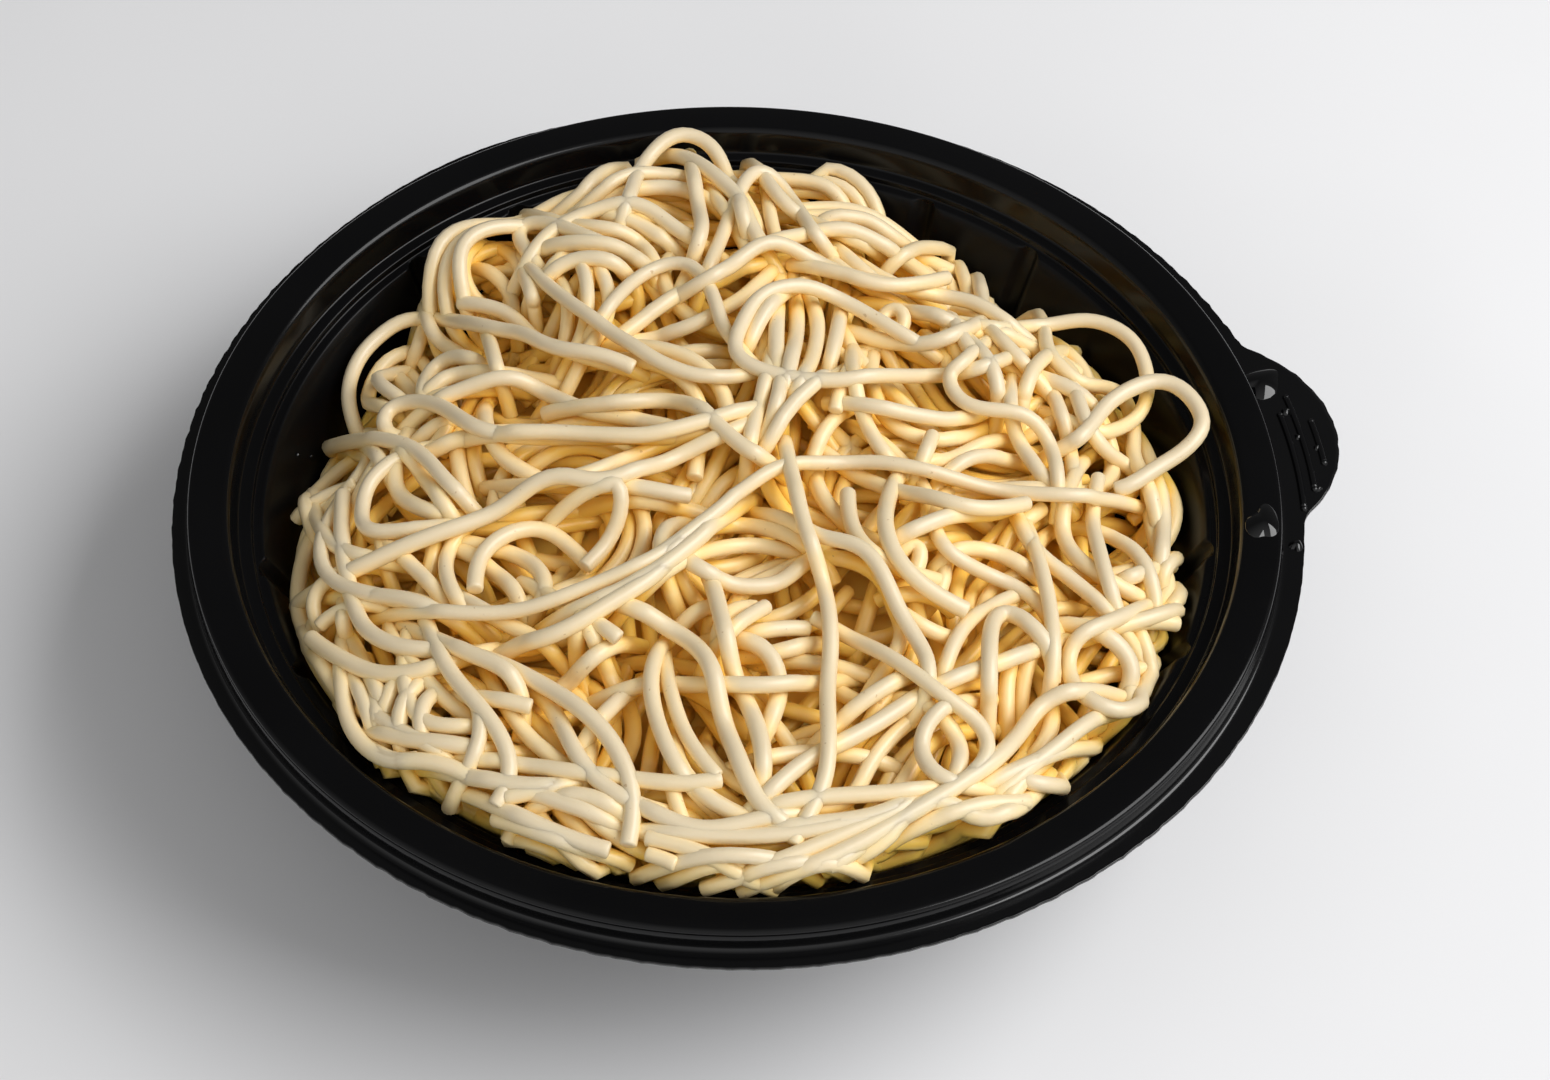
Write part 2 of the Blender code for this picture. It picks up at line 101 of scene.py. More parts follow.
# Noodles on top of the heap, from the lowest to the uppermost: places in mm, with the height of
# the noodle's middle above the rim where it stands clear of the heap
TOP_NOODLES = (
    ((-36.9, 62.8), (-30.2, 58.1), (-22.7, 54.3), (-18.1, 49.5), (-16.1, 45)),
    ((-37.1, 52), (-32.6, 52.6), (-25.3, 51.2), (-19.8, 47.4), (-16.9, 42.8)),
    ((-34.8, 43.8), (-31.4, 47.2), (-26.9, 47.2), (-21.8, 44.2), (-19.1, 38.9)),
    ((-25.7, 59.8), (-18.2, 54.5), (-13, 48.1)),
    ((-22.3, 64.6), (-16.9, 66.4), (-10.5, 65.7), (-4.9, 60.8), (-1.2, 54.2)),
    ((-4, 60.9), (-0.8, 53.3), (1.6, 45.2)),
    ((-2.3, 69.3), (1.1, 60.5), (3.7, 50.9)),
    ((4.7, 63.6), (5.4, 56.5), (6.5, 50.7)),
    ((1.7, 74.6), (5.4, 67.8), (9.1, 62.3), (12.7, 60)),
    ((17.5, 57.8), (21.1, 56.2), (25.1, 54.3)),
    ((-14.6, 24.3), (-8.6, 26), (-3.5, 30), (0.8, 34.7), (4.3, 40.3)),
    ((-17.3, 27.9), (-13.1, 31.9), (-8, 36), (-2.8, 39.5), (2.5, 43)),
    ((36.8, 69.3), (39.9, 65.3), (41.1, 53.9), (41.3, 45.5)),
    ((43.6, 56.6), (43.9, 50), (43, 41.8)),
    ((44.4, 36), (47.8, 31.6), (51.1, 26.9)),
    ((46.3, 36.5), (50.4, 36.4), (54, 35.4)),
    ((6.6, 35), (6.3, 26.8), (6.3, 19.1), (6.7, 12.3)),
    ((9.6, 35.5), (9.9, 27.3), (9, 19.4), (7.9, 12.4)),
    ((12.5, 34.7), (13.6, 28), (12.5, 19.8), (10.4, 12.6)),
    ((17.4, 31.7), (16.5, 24.4), (14.9, 15.5)),
    ((1, 20), (2.5, 25.1), (4.3, 30.5), (6.9, 34.5)),
    ((7, 11.9), (6.4, 7.1), (5.1, 2), (3.4, -2.6)),
    ((15.9, 13.9), (12.1, 8.6), (8.7, 3.8), (6.3, -0.2)),
    ((4.5, 12.9), (3.7, 8.2), (2.4, 2.4), (1.8, -3.7)),
    ((12.9, -2.8), (14.1, 1.8), (15.8, 4.9), (18.6, 7.6)),
    ((18.1, 14.1), (16.9, 10.3), (16.2, 5.9)),
    ((22.7, 14.8), (23.3, 9.9), (25.3, 5.4), (29, 3), (34.1, 2.4), (38.5, 4.7)),
    ((19.6, 14.3), (20.3, 8.7), (21.9, 3.7), (23.9, -0.6), (26.3, -3.8)),
    ((28.2, 37.5), (32.7, 37.3), (37.1, 36)),
    ((25.2, 24.2), (23.9, 29.7), (25.5, 35.5), (28.2, 36.8), (29.1, 31.9), (27, 28.1)),
    ((27, 26.7), (32.3, 27.5), (36.9, 31.2), (40.8, 36.3)),
    ((24, 8.3), (30, 7.9), (36, 7.9), (40.4, 10.7)),
    ((32.3, -1.9), (36.7, 1.9), (41.4, 5.6), (45.5, 7), (47.7, 5.3)),
    ((35.6, -3), (38.9, 1.1), (42.7, 3.4), (46.2, 2.9)),
    ((30.9, -2.8), (32, 0.8), (33.1, 4.8)),
    ((41.3, 30), (43.8, 26), (44.8, 20.5), (44.7, 15.7)),
    ((55.6, 35.9), (52.2, 29.7), (50.1, 22.5), (49.1, 17.6)),
    ((46.8, 14.7), (47.2, 8.8), (48.7, 4.5), (51.3, 0.1)),
    ((55.9, 17.1), (56.9, 10.8), (57.2, 3.4)),
    ((72.3, 13.1), (73.6, 6.1), (73.3, -1.5), (72.2, -9.5)),
    ((73, -11.3), (75.2, -7.5), (77.9, -5.1), (79, -7.2), (77.6, -12.1), (75.4, -16.5)),
    ((62.3, -8.9), (66.4, -9.5), (69.2, -12.8), (70.2, -18.7)),
    ((63.5, -19.9), (67.7, -15.8)),
    ((44.5, -17.7), (45.8, -14), (49, -11), (51.8, -7.2)),
    ((56.1, -1.8), (54.8, -7.1), (54.5, -12.8), (56, -16.9), (59, -18.8), (61.6, -20)),
    ((35.1, -22.3), (38.2, -19.7), (41.9, -19), (45.6, -20.5), (48.9, -22.6)),
    ((47.2, -13.1), (48.8, -16.9), (51.7, -19.6), (55.4, -21.4), (59.1, -23.8), (61.8, -26.4)),
    ((32.8, -17), (33.5, -20.6), (36.4, -23.3), (40.9, -24.3), (45.4, -25.6), (49.2, -27.6),
     (51.3, -31.1)),
    ((26.8, -23.7), (27.9, -20.9), (30.2, -20.3), (30.8, -23.1), (29.3, -25.7)),
    ((26.9, -20), (31.1, -16.5), (36.2, -13.6), (42.1, -12), (47.4, -8.3)),
    ((-57.6, 50), (-55.2, 40.4), (-50.8, 32.1), (-45.5, 24.5), (-41.8, 20)),
    ((-54.8, 20), (-54.7, 25.5), (-52.7, 29.4), (-49.5, 29.2), (-45.1, 24.3)),
    ((-52.7, 21.2), (-51.8, 23.7), (-49, 24.5), (-44, 21.4), (-37.6, 17.9)),
    ((-45.1, 35.6), (-43.7, 28.9), (-41.9, 21.7), (-41.1, 18.6)),
    ((-51.1, 2.8), (-47.9, 4.2), (-43.6, 4), (-40.1, 4)),
    ((-41.8, 3.5), (-40.3, -0.5), (-37.6, -4.1), (-34.4, -6.9), (-30.9, -10)),
    ((-57.8, 4), (-58.1, -0.6), (-57, -5.1), (-54.2, -9.1), (-50.6, -12.1), (-47.4, -13.4)),
    ((-57.6, 5.8), (-54.5, 0.4), (-51.4, -6), (-48.8, -10.8)),
    ((-6.6, -1.9), (-6.7, -5.7), (-7.1, -9.8)),
    ((-19.1, -14.2), (-14.2, -13.9), (-9.2, -15)),
    ((-29.2, -11.1), (-22.5, -10.8), (-15.9, -11.1), (-10.6, -12.7), (-6.8, -12.8)),
    ((-32.6, -9.2), (-26, -8.8), (-20.3, -6.1), (-15.4, -2.8), (-9.6, -0.1), (-4.6, 1.3)),
    ((-53.3, 15.8), (-50.8, 17.8), (-47.3, 18.3), (-42, 18.4), (-36.6, 16), (-32.1, 11.8),
     (-25.8, 6.8), (-19.9, 5.3), (-14.8, 3.4)),
    ((-55.8, -18.9), (-52, -23.6), (-48.6, -29)),
    ((-62, -25.7), (-56.4, -27.8), (-51.1, -30.8), (-46.7, -34.3)),
    ((-44, -33), (-46.5, -28.6), (-47.5, -23.4), (-46.7, -19.1), (-43.8, -16.4)),
    ((-39.8, -21.4), (-35.1, -23.8), (-31.6, -27), (-30.1, -31.6), (-31.2, -34.8)),
    ((-40.5, -24.6), (-37.3, -27.5), (-35.5, -31.6)),
    ((-64.8, -20.1), (-68.3, -20.2), (-70.3, -22.7), (-69.3, -27.3), (-67.2, -30.9)),
    ((-68.5, -30.7), (-67.5, -28.1), (-64.1, -27.3), (-60.6, -28.3)),
    ((-70.7, -6.1), (-68.3, -11.6), (-64.3, -16.1), (-60.3, -18.8)),
    ((-63.9, -29.7), (-63.5, -33.8), (-62, -37.7)),
    ((-39.3, -35.2), (-35.1, -38.4), (-30.9, -41.4), (-27.5, -45.2)),
    ((-27.5, -35.1), (-24.7, -37.5), (-22.9, -40.5)),
    ((-23.9, -37.1), (-25.2, -40.3), (-24.8, -44.3)),
    ((-22.9, -40.5), (-21.2, -44.1), (-19.4, -48.6)),
    ((-26.1, -49.4), (-23.5, -47), (-21.1, -45.5)),
    ((-21.7, -38.7), (-19.4, -40.6), (-17.4, -42.1)),
    ((-13.6, -31.5), (-8.9, -27.2), (-3.8, -24), (1.5, -22.5), (5.6, -23.3)),
    ((-4.7, -29.2), (-1.6, -31.1), (3.3, -31.3), (7.6, -29.2), (11.3, -26.3)),
    ((-11.4, -25.6), (-7.4, -21.2), (-2.9, -18.7), (2, -17.7), (6.9, -19.2), (10.5, -22.1)),
    ((-23.2, -34.9), (-17.6, -31.8), (-12.1, -28), (-7.4, -23.2), (-3.4, -19.1)),
    ((-34, -43.2), (-29.3, -41), (-24.6, -38.2), (-20, -34.7), (-15.2, -31.4), (-11.3, -27.6)),
    ((-58.9, -42), (-56.9, -46.1), (-55.6, -48.9)),
    ((-57.1, -48.1), (-55.8, -53.2)),
    ((-61, -43.2), (-58.8, -47.7), (-57.1, -52.9)),
    ((-52.7, -43.6), (-52.1, -47.6), (-50.8, -51.3), (-47.9, -54.3), (-43.8, -55.8),
     (-39.7, -56.1)),
    ((-57.4, -53.3), (-52.7, -55.3), (-46.9, -57.6), (-40.4, -59.6), (-36.3, -60.5)),
    ((-57.2, -56.5), (-52.8, -60.5), (-48.1, -63.2), (-43.7, -66), (-39.1, -69)),
    ((-40.3, -52), (-39.1, -56.2), (-39.8, -60.1), (-41.3, -63.1)),
    ((-40.4, -64.4), (-36.1, -65.6), (-31.3, -66.5), (-26.6, -66.9)),
    ((-36, -68.3), (-32, -67.9), (-28.5, -67), (-25.8, -66.9)),
    ((-37.4, -70.9), (-33.4, -72.6), (-28.6, -74.6), (-23.9, -76.3)),
    ((-34.6, -70.4), (-29.5, -73), (-24.7, -75.2), (-20, -76.9), (-17.6, -77.5)),
    ((-27.3, -69.1), (-24.2, -67.9), (-20.3, -69.1), (-17.1, -71.2)),
    ((-37.4, -49.8), (-35.4, -53.3), (-33, -56.9), (-30, -60.3), (-27.1, -62.6)),
    ((-22.3, -63.2), (-21.9, -59.3), (-20.7, -55.8)),
    ((-22.2, -58.5), (-19.5, -54.2), (-16.5, -51.2), (-13.9, -49.6)),
    ((-38.6, -61.8), (-32.3, -62.7), (-26.4, -64.2), (-20.4, -65.4), (-14.1, -66.2), (-7.9, -67),
     (-2.4, -66.4), (-0.6, -66)),
    ((-34.4, -48.1), (-30.4, -51), (-27.7, -54.3), (-26, -58.2), (-23.9, -62.4), (-20.8, -66.1),
     (-16.8, -69.2), (-14, -70.2)),
    ((-13.8, -77.6), (-10.3, -78.3), (-7.2, -80.3)),
    ((-13.8, -75.3), (-9.2, -76.1), (-4.5, -77.8), (-0.6, -79.8)),
    ((-14, -70.5), (-10, -72.4), (-5.3, -74.3), (-0.7, -74), (4.7, -72.3), (9.3, -71.5)),
    ((4.8, -80.1), (11, -77.3), (17.1, -74.3), (23.4, -71.1), (28.9, -67.9)),
    ((6.3, -74.2), (11.7, -72.9), (17.9, -72), (23.4, -70.5), (28.1, -68)),
    ((5.4, -70.8), (10.1, -69), (16.3, -68), (23.4, -67.1), (30.5, -65.9)),
    ((20.3, -75.8), (17.2, -78.3), (14.4, -80)),
    ((23.4, -76.4), (29.7, -74.2), (36.8, -71.8), (42.4, -68.7), (44.9, -66.2)),
    ((32, -70.6), (36, -68.6), (40.8, -66.7), (44.4, -65.1), (47.7, -63.8)),
    ((1.8, -40.7), (5.8, -39.1), (9.8, -38.6), (13, -38.8)),
    ((4.2, -42.5), (8.2, -41.6), (11.9, -41.2)),
    ((0.2, -41.7), (3.9, -41.9), (6.3, -44.5), (7.6, -49.4), (7.1, -53.2), (5.7, -57)),
    ((3.7, -63.1), (8.4, -61.6), (13.1, -61), (17, -61.2)),
    ((-2.7, -44.4), (-2.2, -39), (-0.7, -35.2), (1.7, -33.7), (4.4, -33.4)),
    ((-0.9, -40.8), (1.8, -37.4), (4.1, -35.5), (6.1, -34.3)),
    ((-1.9, -38.1), (-0.9, -42.6), (0, -47.9), (2, -52.2), (4, -57.1), (5.1, -61.9), (4.9, -65.9)),
    ((16.2, -56.4), (19.4, -52.9), (23.4, -49.5), (27.4, -47.1)),
    ((4.6, -69.7), (8.5, -65.7), (12.7, -62), (17.4, -59.1), (22.1, -56), (26.9, -52.1),
     (30.6, -49.5)),
    ((33.7, -54.4), (35.8, -56.2), (36.4, -59.4), (35.3, -62.3)),
    ((35.4, -50.3), (32.2, -52.5), (29.9, -56.2), (29.4, -60), (30.9, -63), (33.6, -64.5),
     (36.8, -64.9)),
    ((22.2, -25.2), (23.5, -27), (24.8, -29.8)),
    ((25.1, -32.1), (29.2, -30.4), (33.3, -31.1), (36.5, -33.4)),
    ((25.9, -33.8), (29.6, -36.7), (34, -37.5), (37.8, -35.4)),
    ((33.9, -43.6), (35.6, -38.5), (38.1, -34.4), (41.5, -31.2)),
    ((33.8, -46.8), (37.9, -44), (42.9, -41.6), (48, -38.5)),
    ((55.9, -42.3), (59.8, -39.2), (63.7, -36.6)),
    ((59.3, -31.2), (62.7, -31.8), (65.2, -34.9), (64.6, -40.3), (61.6, -45.3)),
    ((45.4, -61.1), (49.8, -61.7), (54.9, -58.9), (59.2, -54), (62.5, -49), (63.3, -46.1)),
    ((44.1, -62.2), (47.5, -58.3), (51.7, -54.4), (56, -50.3), (60.3, -46.8)),
    ((67.4, -25.8), (71.6, -23.4), (75.2, -23)),
    ((50.3, -20.5), (51.4, -26.2), (51.8, -33.7), (51.6, -40.2), (50.6, -45.8)),
    ((-26, 66), (-22, 69), (-17, 71), (-10, 70)),
    ((-30, 68), (-26, 72), (-19, 76), (-13, 77), (-7, 73), (-1, 64), (1, 56), (4, 48)),
    ((-25, 51), (-33, 59), (-37, 62), (-40, 63), (-41, 60), (-39, 55), (-37, 50)),
    ((-55, 48), (-53, 56), (-50, 58), (-46, 54), (-42, 46), (-40, 37)),
    ((-57, 39, -9), (-54, 52, -6), (-48, 56, -3), (-42, 54, -2), (-38, 45), (-36, 34)),
    ((-51, 46), (-46, 42), (-40, 35), (-35, 27), (-29, 22), (-24, 19)),
    ((2, 47), (9, 54), (14, 58), (20, 60), (25, 59), (29, 57)),
    ((17, 64), (22, 67), (27, 64), (32, 62)),
    ((29, 57), (34, 66), (39, 66), (44, 65), (48, 62), (53, 57), (55, 47), (55, 36), (59, 30),
     (61, 29), (67, 34), (69, 33), (70, 23), (69, 13), (71, 9), (72, 2)),
    ((-39, 49), (-37, 54), (-34, 58), (-30, 61), (-25, 62), (-18, 58), (-11, 52), (-7, 48)),
    ((-21, 60), (-18, 73, 3), (-12, 79, 5), (-6, 77, 4), (-2, 68, 1), (0, 58)),
    ((-6, 40), (-2, 57, 6), (1, 67, 6), (4, 70, 5), (8, 66, 2), (14, 54)),
    ((-9, 70), (-8, 61), (-7, 53), (-8, 47), (-9, 42)),
    ((-24, 30), (-22, 34), (-18, 40), (-13, 43), (-9, 43), (-6, 38), (-4, 31), (-3, 26),
     (-1, 22)),
    ((-38, 49), (-34, 42), (-30, 36), (-26, 31), (-22, 26), (-17, 21), (-14, 18), (-7, 14),
     (-2, 14)),
    ((-60, 2), (-67, 18, -10), (-69, 28, -10), (-66, 37, -9), (-58, 42, -7), (-46, 36),
     (-31, 20), (-17, 12)),
    ((-65, 13), (-58, 8), (-53, 2), (-49, -5), (-45, -11)),
    ((-58, 3), (-62, 1), (-63, -3), (-63, -9), (-61, -13), (-52, -15)),
    ((-61, 14), (-62, 19), (-58, 20), (-51, 15), (-45, 7), (-39, 3), (-30, 1), (-16, 0)),
    ((-66, -21), (-55, -18), (-36, -14), (-23, -10), (-13, -6), (-3, 0)),
    ((-64, 1), (-71, -6, -9), (-73, -18, -9), (-71, -30, -9), (-66, -40)),
    ((-63.2, -41.7), (-62.5, -46.4), (-60.7, -52.1), (-57.4, -56.6), (-53.1, -59.7),
     (-48.2, -60.3)),
    ((-67.1, 0.2), (-66, -12.2), (-63.5, -23.8), (-60, -33.3), (-54.6, -38.4), (-47, -40.9),
     (-41.2, -42.6), (-35.1, -46.2), (-28.8, -50.2), (-23.9, -53.9), (-19.8, -57.9), (-17, -62.8),
     (-15.3, -67.5), (-15, -73.1), (-15.8, -77.5)),
    ((-42, -31), (-42, -24), (-39, -20), (-34, -18), (-29, -20), (-23, -28)),
    ((44, 38), (54, 40, -4), (63, 41, -3), (70, 36, -3), (72, 26, -4), (69, 18, -5), (62, 16)),
    ((59, 26), (62, 14), (70, 7, -7), (71, -3, -8), (72, -12, -8), (73, -18, -8), (64, -26),
     (57, -32), (54, -38), (55, -44), (61, -46), (66, -43), (69, -37, -8), (68, -31, -8)),
    ((57, 10), (66, 20, 0), (74, 24, 0), (79, 19, 0), (80, 12, 0), (73, 6, -2), (64, 3)),
    ((62, 5), (60, -7), (61, -16), (63, -24)),
    ((-6, 38), (7, 48), (19, 44), (32, 45), (44, 45), (50, 40)),
    ((18, 44), (23, 44), (30, 46), (38, 50)),
    ((27, 30), (15, 38), (6, 37), (0, 26), (0, 18), (12, 14), (26, 17), (38, 20), (46, 28)),
    ((-22, -15), (-19, -15), (-18, -18), (-20, -22), (-25, -28)),
    ((-15, -50), (-5, -50), (4, -50), (12, -49)),
    ((-23.3, 8), (-16.6, 8.4), (-11.2, 8.9), (-6.4, 6.5), (-2.7, 2), (1.2, -2.4), (4.6, -5.6)),
    ((-40, 3.5), (-31.5, 2.7), (-23, 0.6), (-16.3, -0), (-11.3, 1.5), (-6.4, 3.5), (-2.2, 5)),
    ((41.7, 29.5), (38.6, 23.7), (35.9, 17.7), (36.1, 13.2), (39.9, 12.1), (45.2, 13.5),
     (49.8, 13.9), (52.7, 11), (54.1, 5.4), (54.3, -0.4)),
    ((20.7, -7.2), (24.5, -9.4), (29.5, -10.8), (35.3, -11.7), (41.2, -11.2), (45.9, -9.2),
     (49.4, -6.9)),
    ((18.4, -10), (18.3, -14.5), (19.1, -19.2), (20.9, -22.9), (24.3, -25.2)),
    ((24.9, -12.7), (24.2, -17), (25.2, -22), (27.6, -26.3), (31.3, -29.7), (35.6, -32.2),
     (38.4, -32.9)),
    ((40.6, -50.3), (40.9, -44.8), (41.1, -38.5), (41.7, -33.4), (43.6, -30.6), (46.1, -31.7),
     (48.8, -34.2)),
    ((10.2, -80.6), (15.6, -77.8), (21, -74.8), (26.4, -71), (31.9, -67.3), (36.7, -63.7),
     (41.6, -58.8), (45.8, -53.6), (48.4, -48.6), (51.8, -45.6), (56, -43.8)),
    ((-70.1, -30.3), (-67.7, -33.8), (-62.9, -39), (-57.6, -42.7), (-52.5, -44), (-46.8, -43.7)),
    ((-46, -39.8), (-42.1, -42.3), (-37.6, -44.8), (-35, -47.3), (-34.3, -49.7)),
    ((-38.6, -51.4), (-35.9, -51.9), (-33.2, -52.9), (-30.7, -53.7)),
    ((-47.9, -39.4), (-46.1, -43.4), (-43, -48.3), (-39.9, -52.5), (-36.9, -56.6), (-34.8, -60.8),
     (-34.2, -64.8), (-35.1, -67.7), (-37.1, -70.1)),
    ((-10.4, -41.5), (-12.4, -44.6), (-13.1, -48.9), (-12.4, -54), (-10.5, -59.8), (-8.2, -64.6),
     (-6.3, -66.9)),
    ((-9.5, -52.4), (-8.1, -57), (-6, -61), (-3.6, -64.1), (-1.4, -66.3)),
    ((11.8, -36.2), (16.9, -39.2), (22.5, -42.3), (28.1, -45.5), (32.4, -48.5), (36.4, -50.8),
     (39.9, -53.1), (40.9, -56.6), (39.5, -60.4), (36.3, -64.1)),
    ((-15.4, -36.7), (-11.5, -38.8), (-7.4, -41.2), (-4.3, -44.6), (-2.8, -49), (-2.1, -53.2),
     (-0.6, -58.2), (1.4, -63.4), (3.3, -68), (5.9, -71.6), (9.3, -73.5)),
    ((9, -18), (15, -22), (22, -25), (27, -36), (31, -42), (31, -46)),
    ((-50, -33), (-33, -35), (-15, -27), (-6, -19), (4, -9), (10, -6), (24, -4), (44, -6),
     (62, -1)),
    ((9.3, -9.4), (10.4, -15.1), (12.4, -23.2), (14.4, -31), (15.3, -36.6), (15.5, -43.3),
     (14.9, -50), (15.2, -58.3), (15, -63.9), (13.6, -68.6), (11.3, -72.8), (9.4, -77)),
)

# Where a cut end shows on top of the heap, in mm; the other ends go down among the noodles
CUT_ENDS = (
    (-51, 48), (-16, 13), (38, 53), (53, 42), (62, 36), (-67, 1), (-48, -60), (-39, -70),
    (-31, -53), (49, -6), (62, 5), (18, -10), (38, -33), (75, -24), (48, -64), (-7, -11),
    (-25, -28), (-42, -30), (6, -35), (16, 5), (33, 4), (25, -31), (-1, -67), (-17, -43),
    (12, -36), (-16, -77), (9, -77), (-7, -81), (14, -80), (-70, -30),
)

# Colour of the small specks in the noodles
SPECK_BROWN = (0.42, 0.24, 0.08)

# Noodles that follow the wall: azimuths of their ends, and radius in mm
WALL_NOODLES = ((200.0, 262.0, 77.0), (254.0, 324.0, 77.0))

# How far the end of a noodle goes down where it passes under others, and over how many points
DIVE = 5.5 * MM
DIVE_POINTS = 9

# How far a noodle may lie above or below the heap's even form
STRAY = 6.0 * MM

# How the heap is filled: how far out, as a share of the way to the wall; the depth in mm below
# the even form at which the filling ends, and how much less that is near the wall; the share of
# the heap that may then still be short, and by how much; the least and greatest length of a
# noodle in mm; the fewest points of a noodle and their spacing; and how many thicknesses a
# noodle that runs beside another lies off
FILLED = 0.96
FILL_DEPTH = 6.5
FILL_RISE = 3.2
REST = 0.03
REST_SHORT = 0.9 * MM
LENGTHS = (90, 260)
FEWEST = 8
FILL_STEP = 1.9 * MM
BESIDE = 1.06

# How a noodle of the filling finds its way: the number and spread of the spots at which it may
# start; its stride; its sharpest bend in a stride, those that it tries, and the share of the
# last bend that it keeps; in mm what it costs to be near the wall and to change the bend; and
# after how many strides it ends, at what height over the filling's target
SPOTS = 260
SPREAD = 76 * MM
STRIDE = 2.0 * MM
SHARPEST = 0.17
BENDS = np.radians(np.array([-5.0, -3.0, -1.5, 0.0, 1.5, 3.0, 5.0]))
KEPT_BEND = 0.85
WALL_COST = 30
BEND_COST = 3.0
SURE_STRIDES = 18
TOO_HIGH = 1.7 * MM

# Spacing of the points of a top noodle, and the sharpest bend from point to point where its
# hidden end is carried on
TOP_STEP = 1.5 * MM
SHARPEST_END = 0.15

# How much lower the core lies beside the wall than in the middle, against the heap's form
CORE_DROP = 9 * MM

# Length of the rounded rim at a noodle's cut end
END_LENGTH = 0.35 * MM

# Depths below the rim: the ledge at the top of the wall, the ledge for a lid, and the flange
WALL_LEDGE = 5.8 * MM
LID_LEDGE = 4.6 * MM
FLANGE_DEPTH = 4.1 * MM

# Radii: the fillet at the wall's foot, the outside of the lid's ledge, the start of the flange
FOOT_FILLET = 6 * MM
LEDGE_RADIUS = 84.2 * MM
FLANGE_START = 93.6 * MM

# The bowl from the wall's ledge to the flange: radius and height over the rim, in mm
LIP = (
    (80.25, -5.84), (80.6, -5.80), (81.5, -5.80), (81.78, -5.70), (81.86, -5.50),
    (81.95, -4.85), (82.05, -4.66), (82.3, -4.60), (83.8, -4.60), (84.05, -4.52),
    (84.2, -4.35), (84.42, -3.75), (85.1, -1.4), (85.3, -0.82), (85.58, -0.4),
    (85.92, -0.14), (86.32, -0.02), (86.7, 0.0), (89.0, 0.0), (91.4, 0.0),
    (91.78, -0.06), (92.05, -0.25), (92.18, -0.52), (92.21, -0.82), (92.13, -1.02),
    (92.17, -1.2), (92.28, -1.42), (92.4, -2.4), (92.47, -3.3), (92.55, -3.68),
    (92.75, -3.96), (93.1, -4.08), (93.6, -4.10),
)
# The part of the lip inside this radius follows the flutes
FLUTED_LIP = 80.7 * MM

# Rings of the wall and of the flange, as shares of their width
WALL_SHARES = (0.06, 0.12, 0.25, 0.45, 0.65, 0.85, 0.95)
FLANGE_SHARES = (0.2, 0.4, 0.6, 0.8, 0.93, 1.0)

# Flutes: number of pairs, azimuth of the first, and each flute's angle from its pair's middle,
# half width and slope, in degrees
FLUTE_PAIRS = 5
FIRST_PAIR = 57.0
FLUTE_SPREAD = 8.0
FLUTE_HALF = 1.65
FLUTE_SLOPE = 1.0

# The cut edge: radius of the trim circle and its shift towards +X, and the bulge near the back
# left with its azimuth and half width in degrees
TRIM_RADIUS = 95.84 * MM
TRIM_SHIFT = 0.6 * MM
BULGE = 1.0 * MM
BULGE_AZIMUTH = 121.0
BULGE_WIDTH = 15.0

# The pull tab: an arc about a point inside the rim, blended into the trim circle
TAB_AZIMUTH = 9.9
TAB_CENTRE = 82.1 * MM
TAB_RADIUS = 23.38 * MM
TAB_BLEND = 1.2 * MM

# Raised ribs on the pull tab: radius in mm, first and last azimuth in degrees
GRIP_RIBS = ((101.5, 5.0, 10.4), (98.9, 1.6, 14.0), (96.6, -1.0, 11.8))
RIB_RADIUS = 0.62 * MM
RIB_END = 0.66 * MM
RIB_HEIGHT = RIM - 4.2 * MM

# Water left on the plastic: radius in mm and azimuth of the middle, length, width and height
# in mm, and the azimuth along which the drop lies
DROPS = (
    (88.9, -5.5, 8.2, 5.0, 1.1, 97.0),
    (95.0, -6.0, 3.2, 2.0, 0.8, 70.0),
    (96.0, 16.6, 9.0, 5.6, 1.2, 25.0),
    (97.9, 12.2, 2.0, 1.6, 0.6, 0.0),
    (98.3, 8.6, 1.4, 1.1, 0.5, 0.0),
    (101.0, 7.0, 1.4, 1.1, 0.5, 0.0),
    (99.6, 1.6, 1.4, 1.1, 0.5, 0.0),
    (77.5, 171.0, 0.9, 0.8, 0.3, 0.0),
    (76.0, 169.0, 0.7, 0.7, 0.3, 0.0),
    (74.6, 173.5, 0.8, 0.6, 0.3, 0.0),
    (73.6, 172.5, 0.6, 0.6, 0.2, 0.0),
    (85.1, 170.0, 0.7, 0.6, 0.2, 0.0),
)


# Sizes and colours that a user may change


def a_length(name, description, default):
    return FloatProperty(name=name, description=description, default=default, unit="LENGTH")


def a_colour(name, description, default):
    return FloatVectorProperty(
        name=name, description=description, default=default, subtype="COLOR", size=3)


class BowlSizes(bpy.types.PropertyGroup):
    sheet: a_length("Sheet", "Thickness of the formed sheet", 0.6 * MM)
    wall_foot: a_length(
        "Wall foot radius", "Inner radius of the wall where it meets the floor", 62.8 * MM)
    wall_top: a_length("Wall top radius", "Inner radius of the wall below its ledge", 80 * MM)
    flute_depth: a_length("Flute depth", "How far a flute stands out of the wall", 1.4 * MM)
    edge_ragged: a_length("Ragged edge", "Unevenness of the trimmed edge", 0.2 * MM)
    columns: IntProperty(
        name="Columns", description="Number of columns of faces round the bowl", default=600,
        min=60)


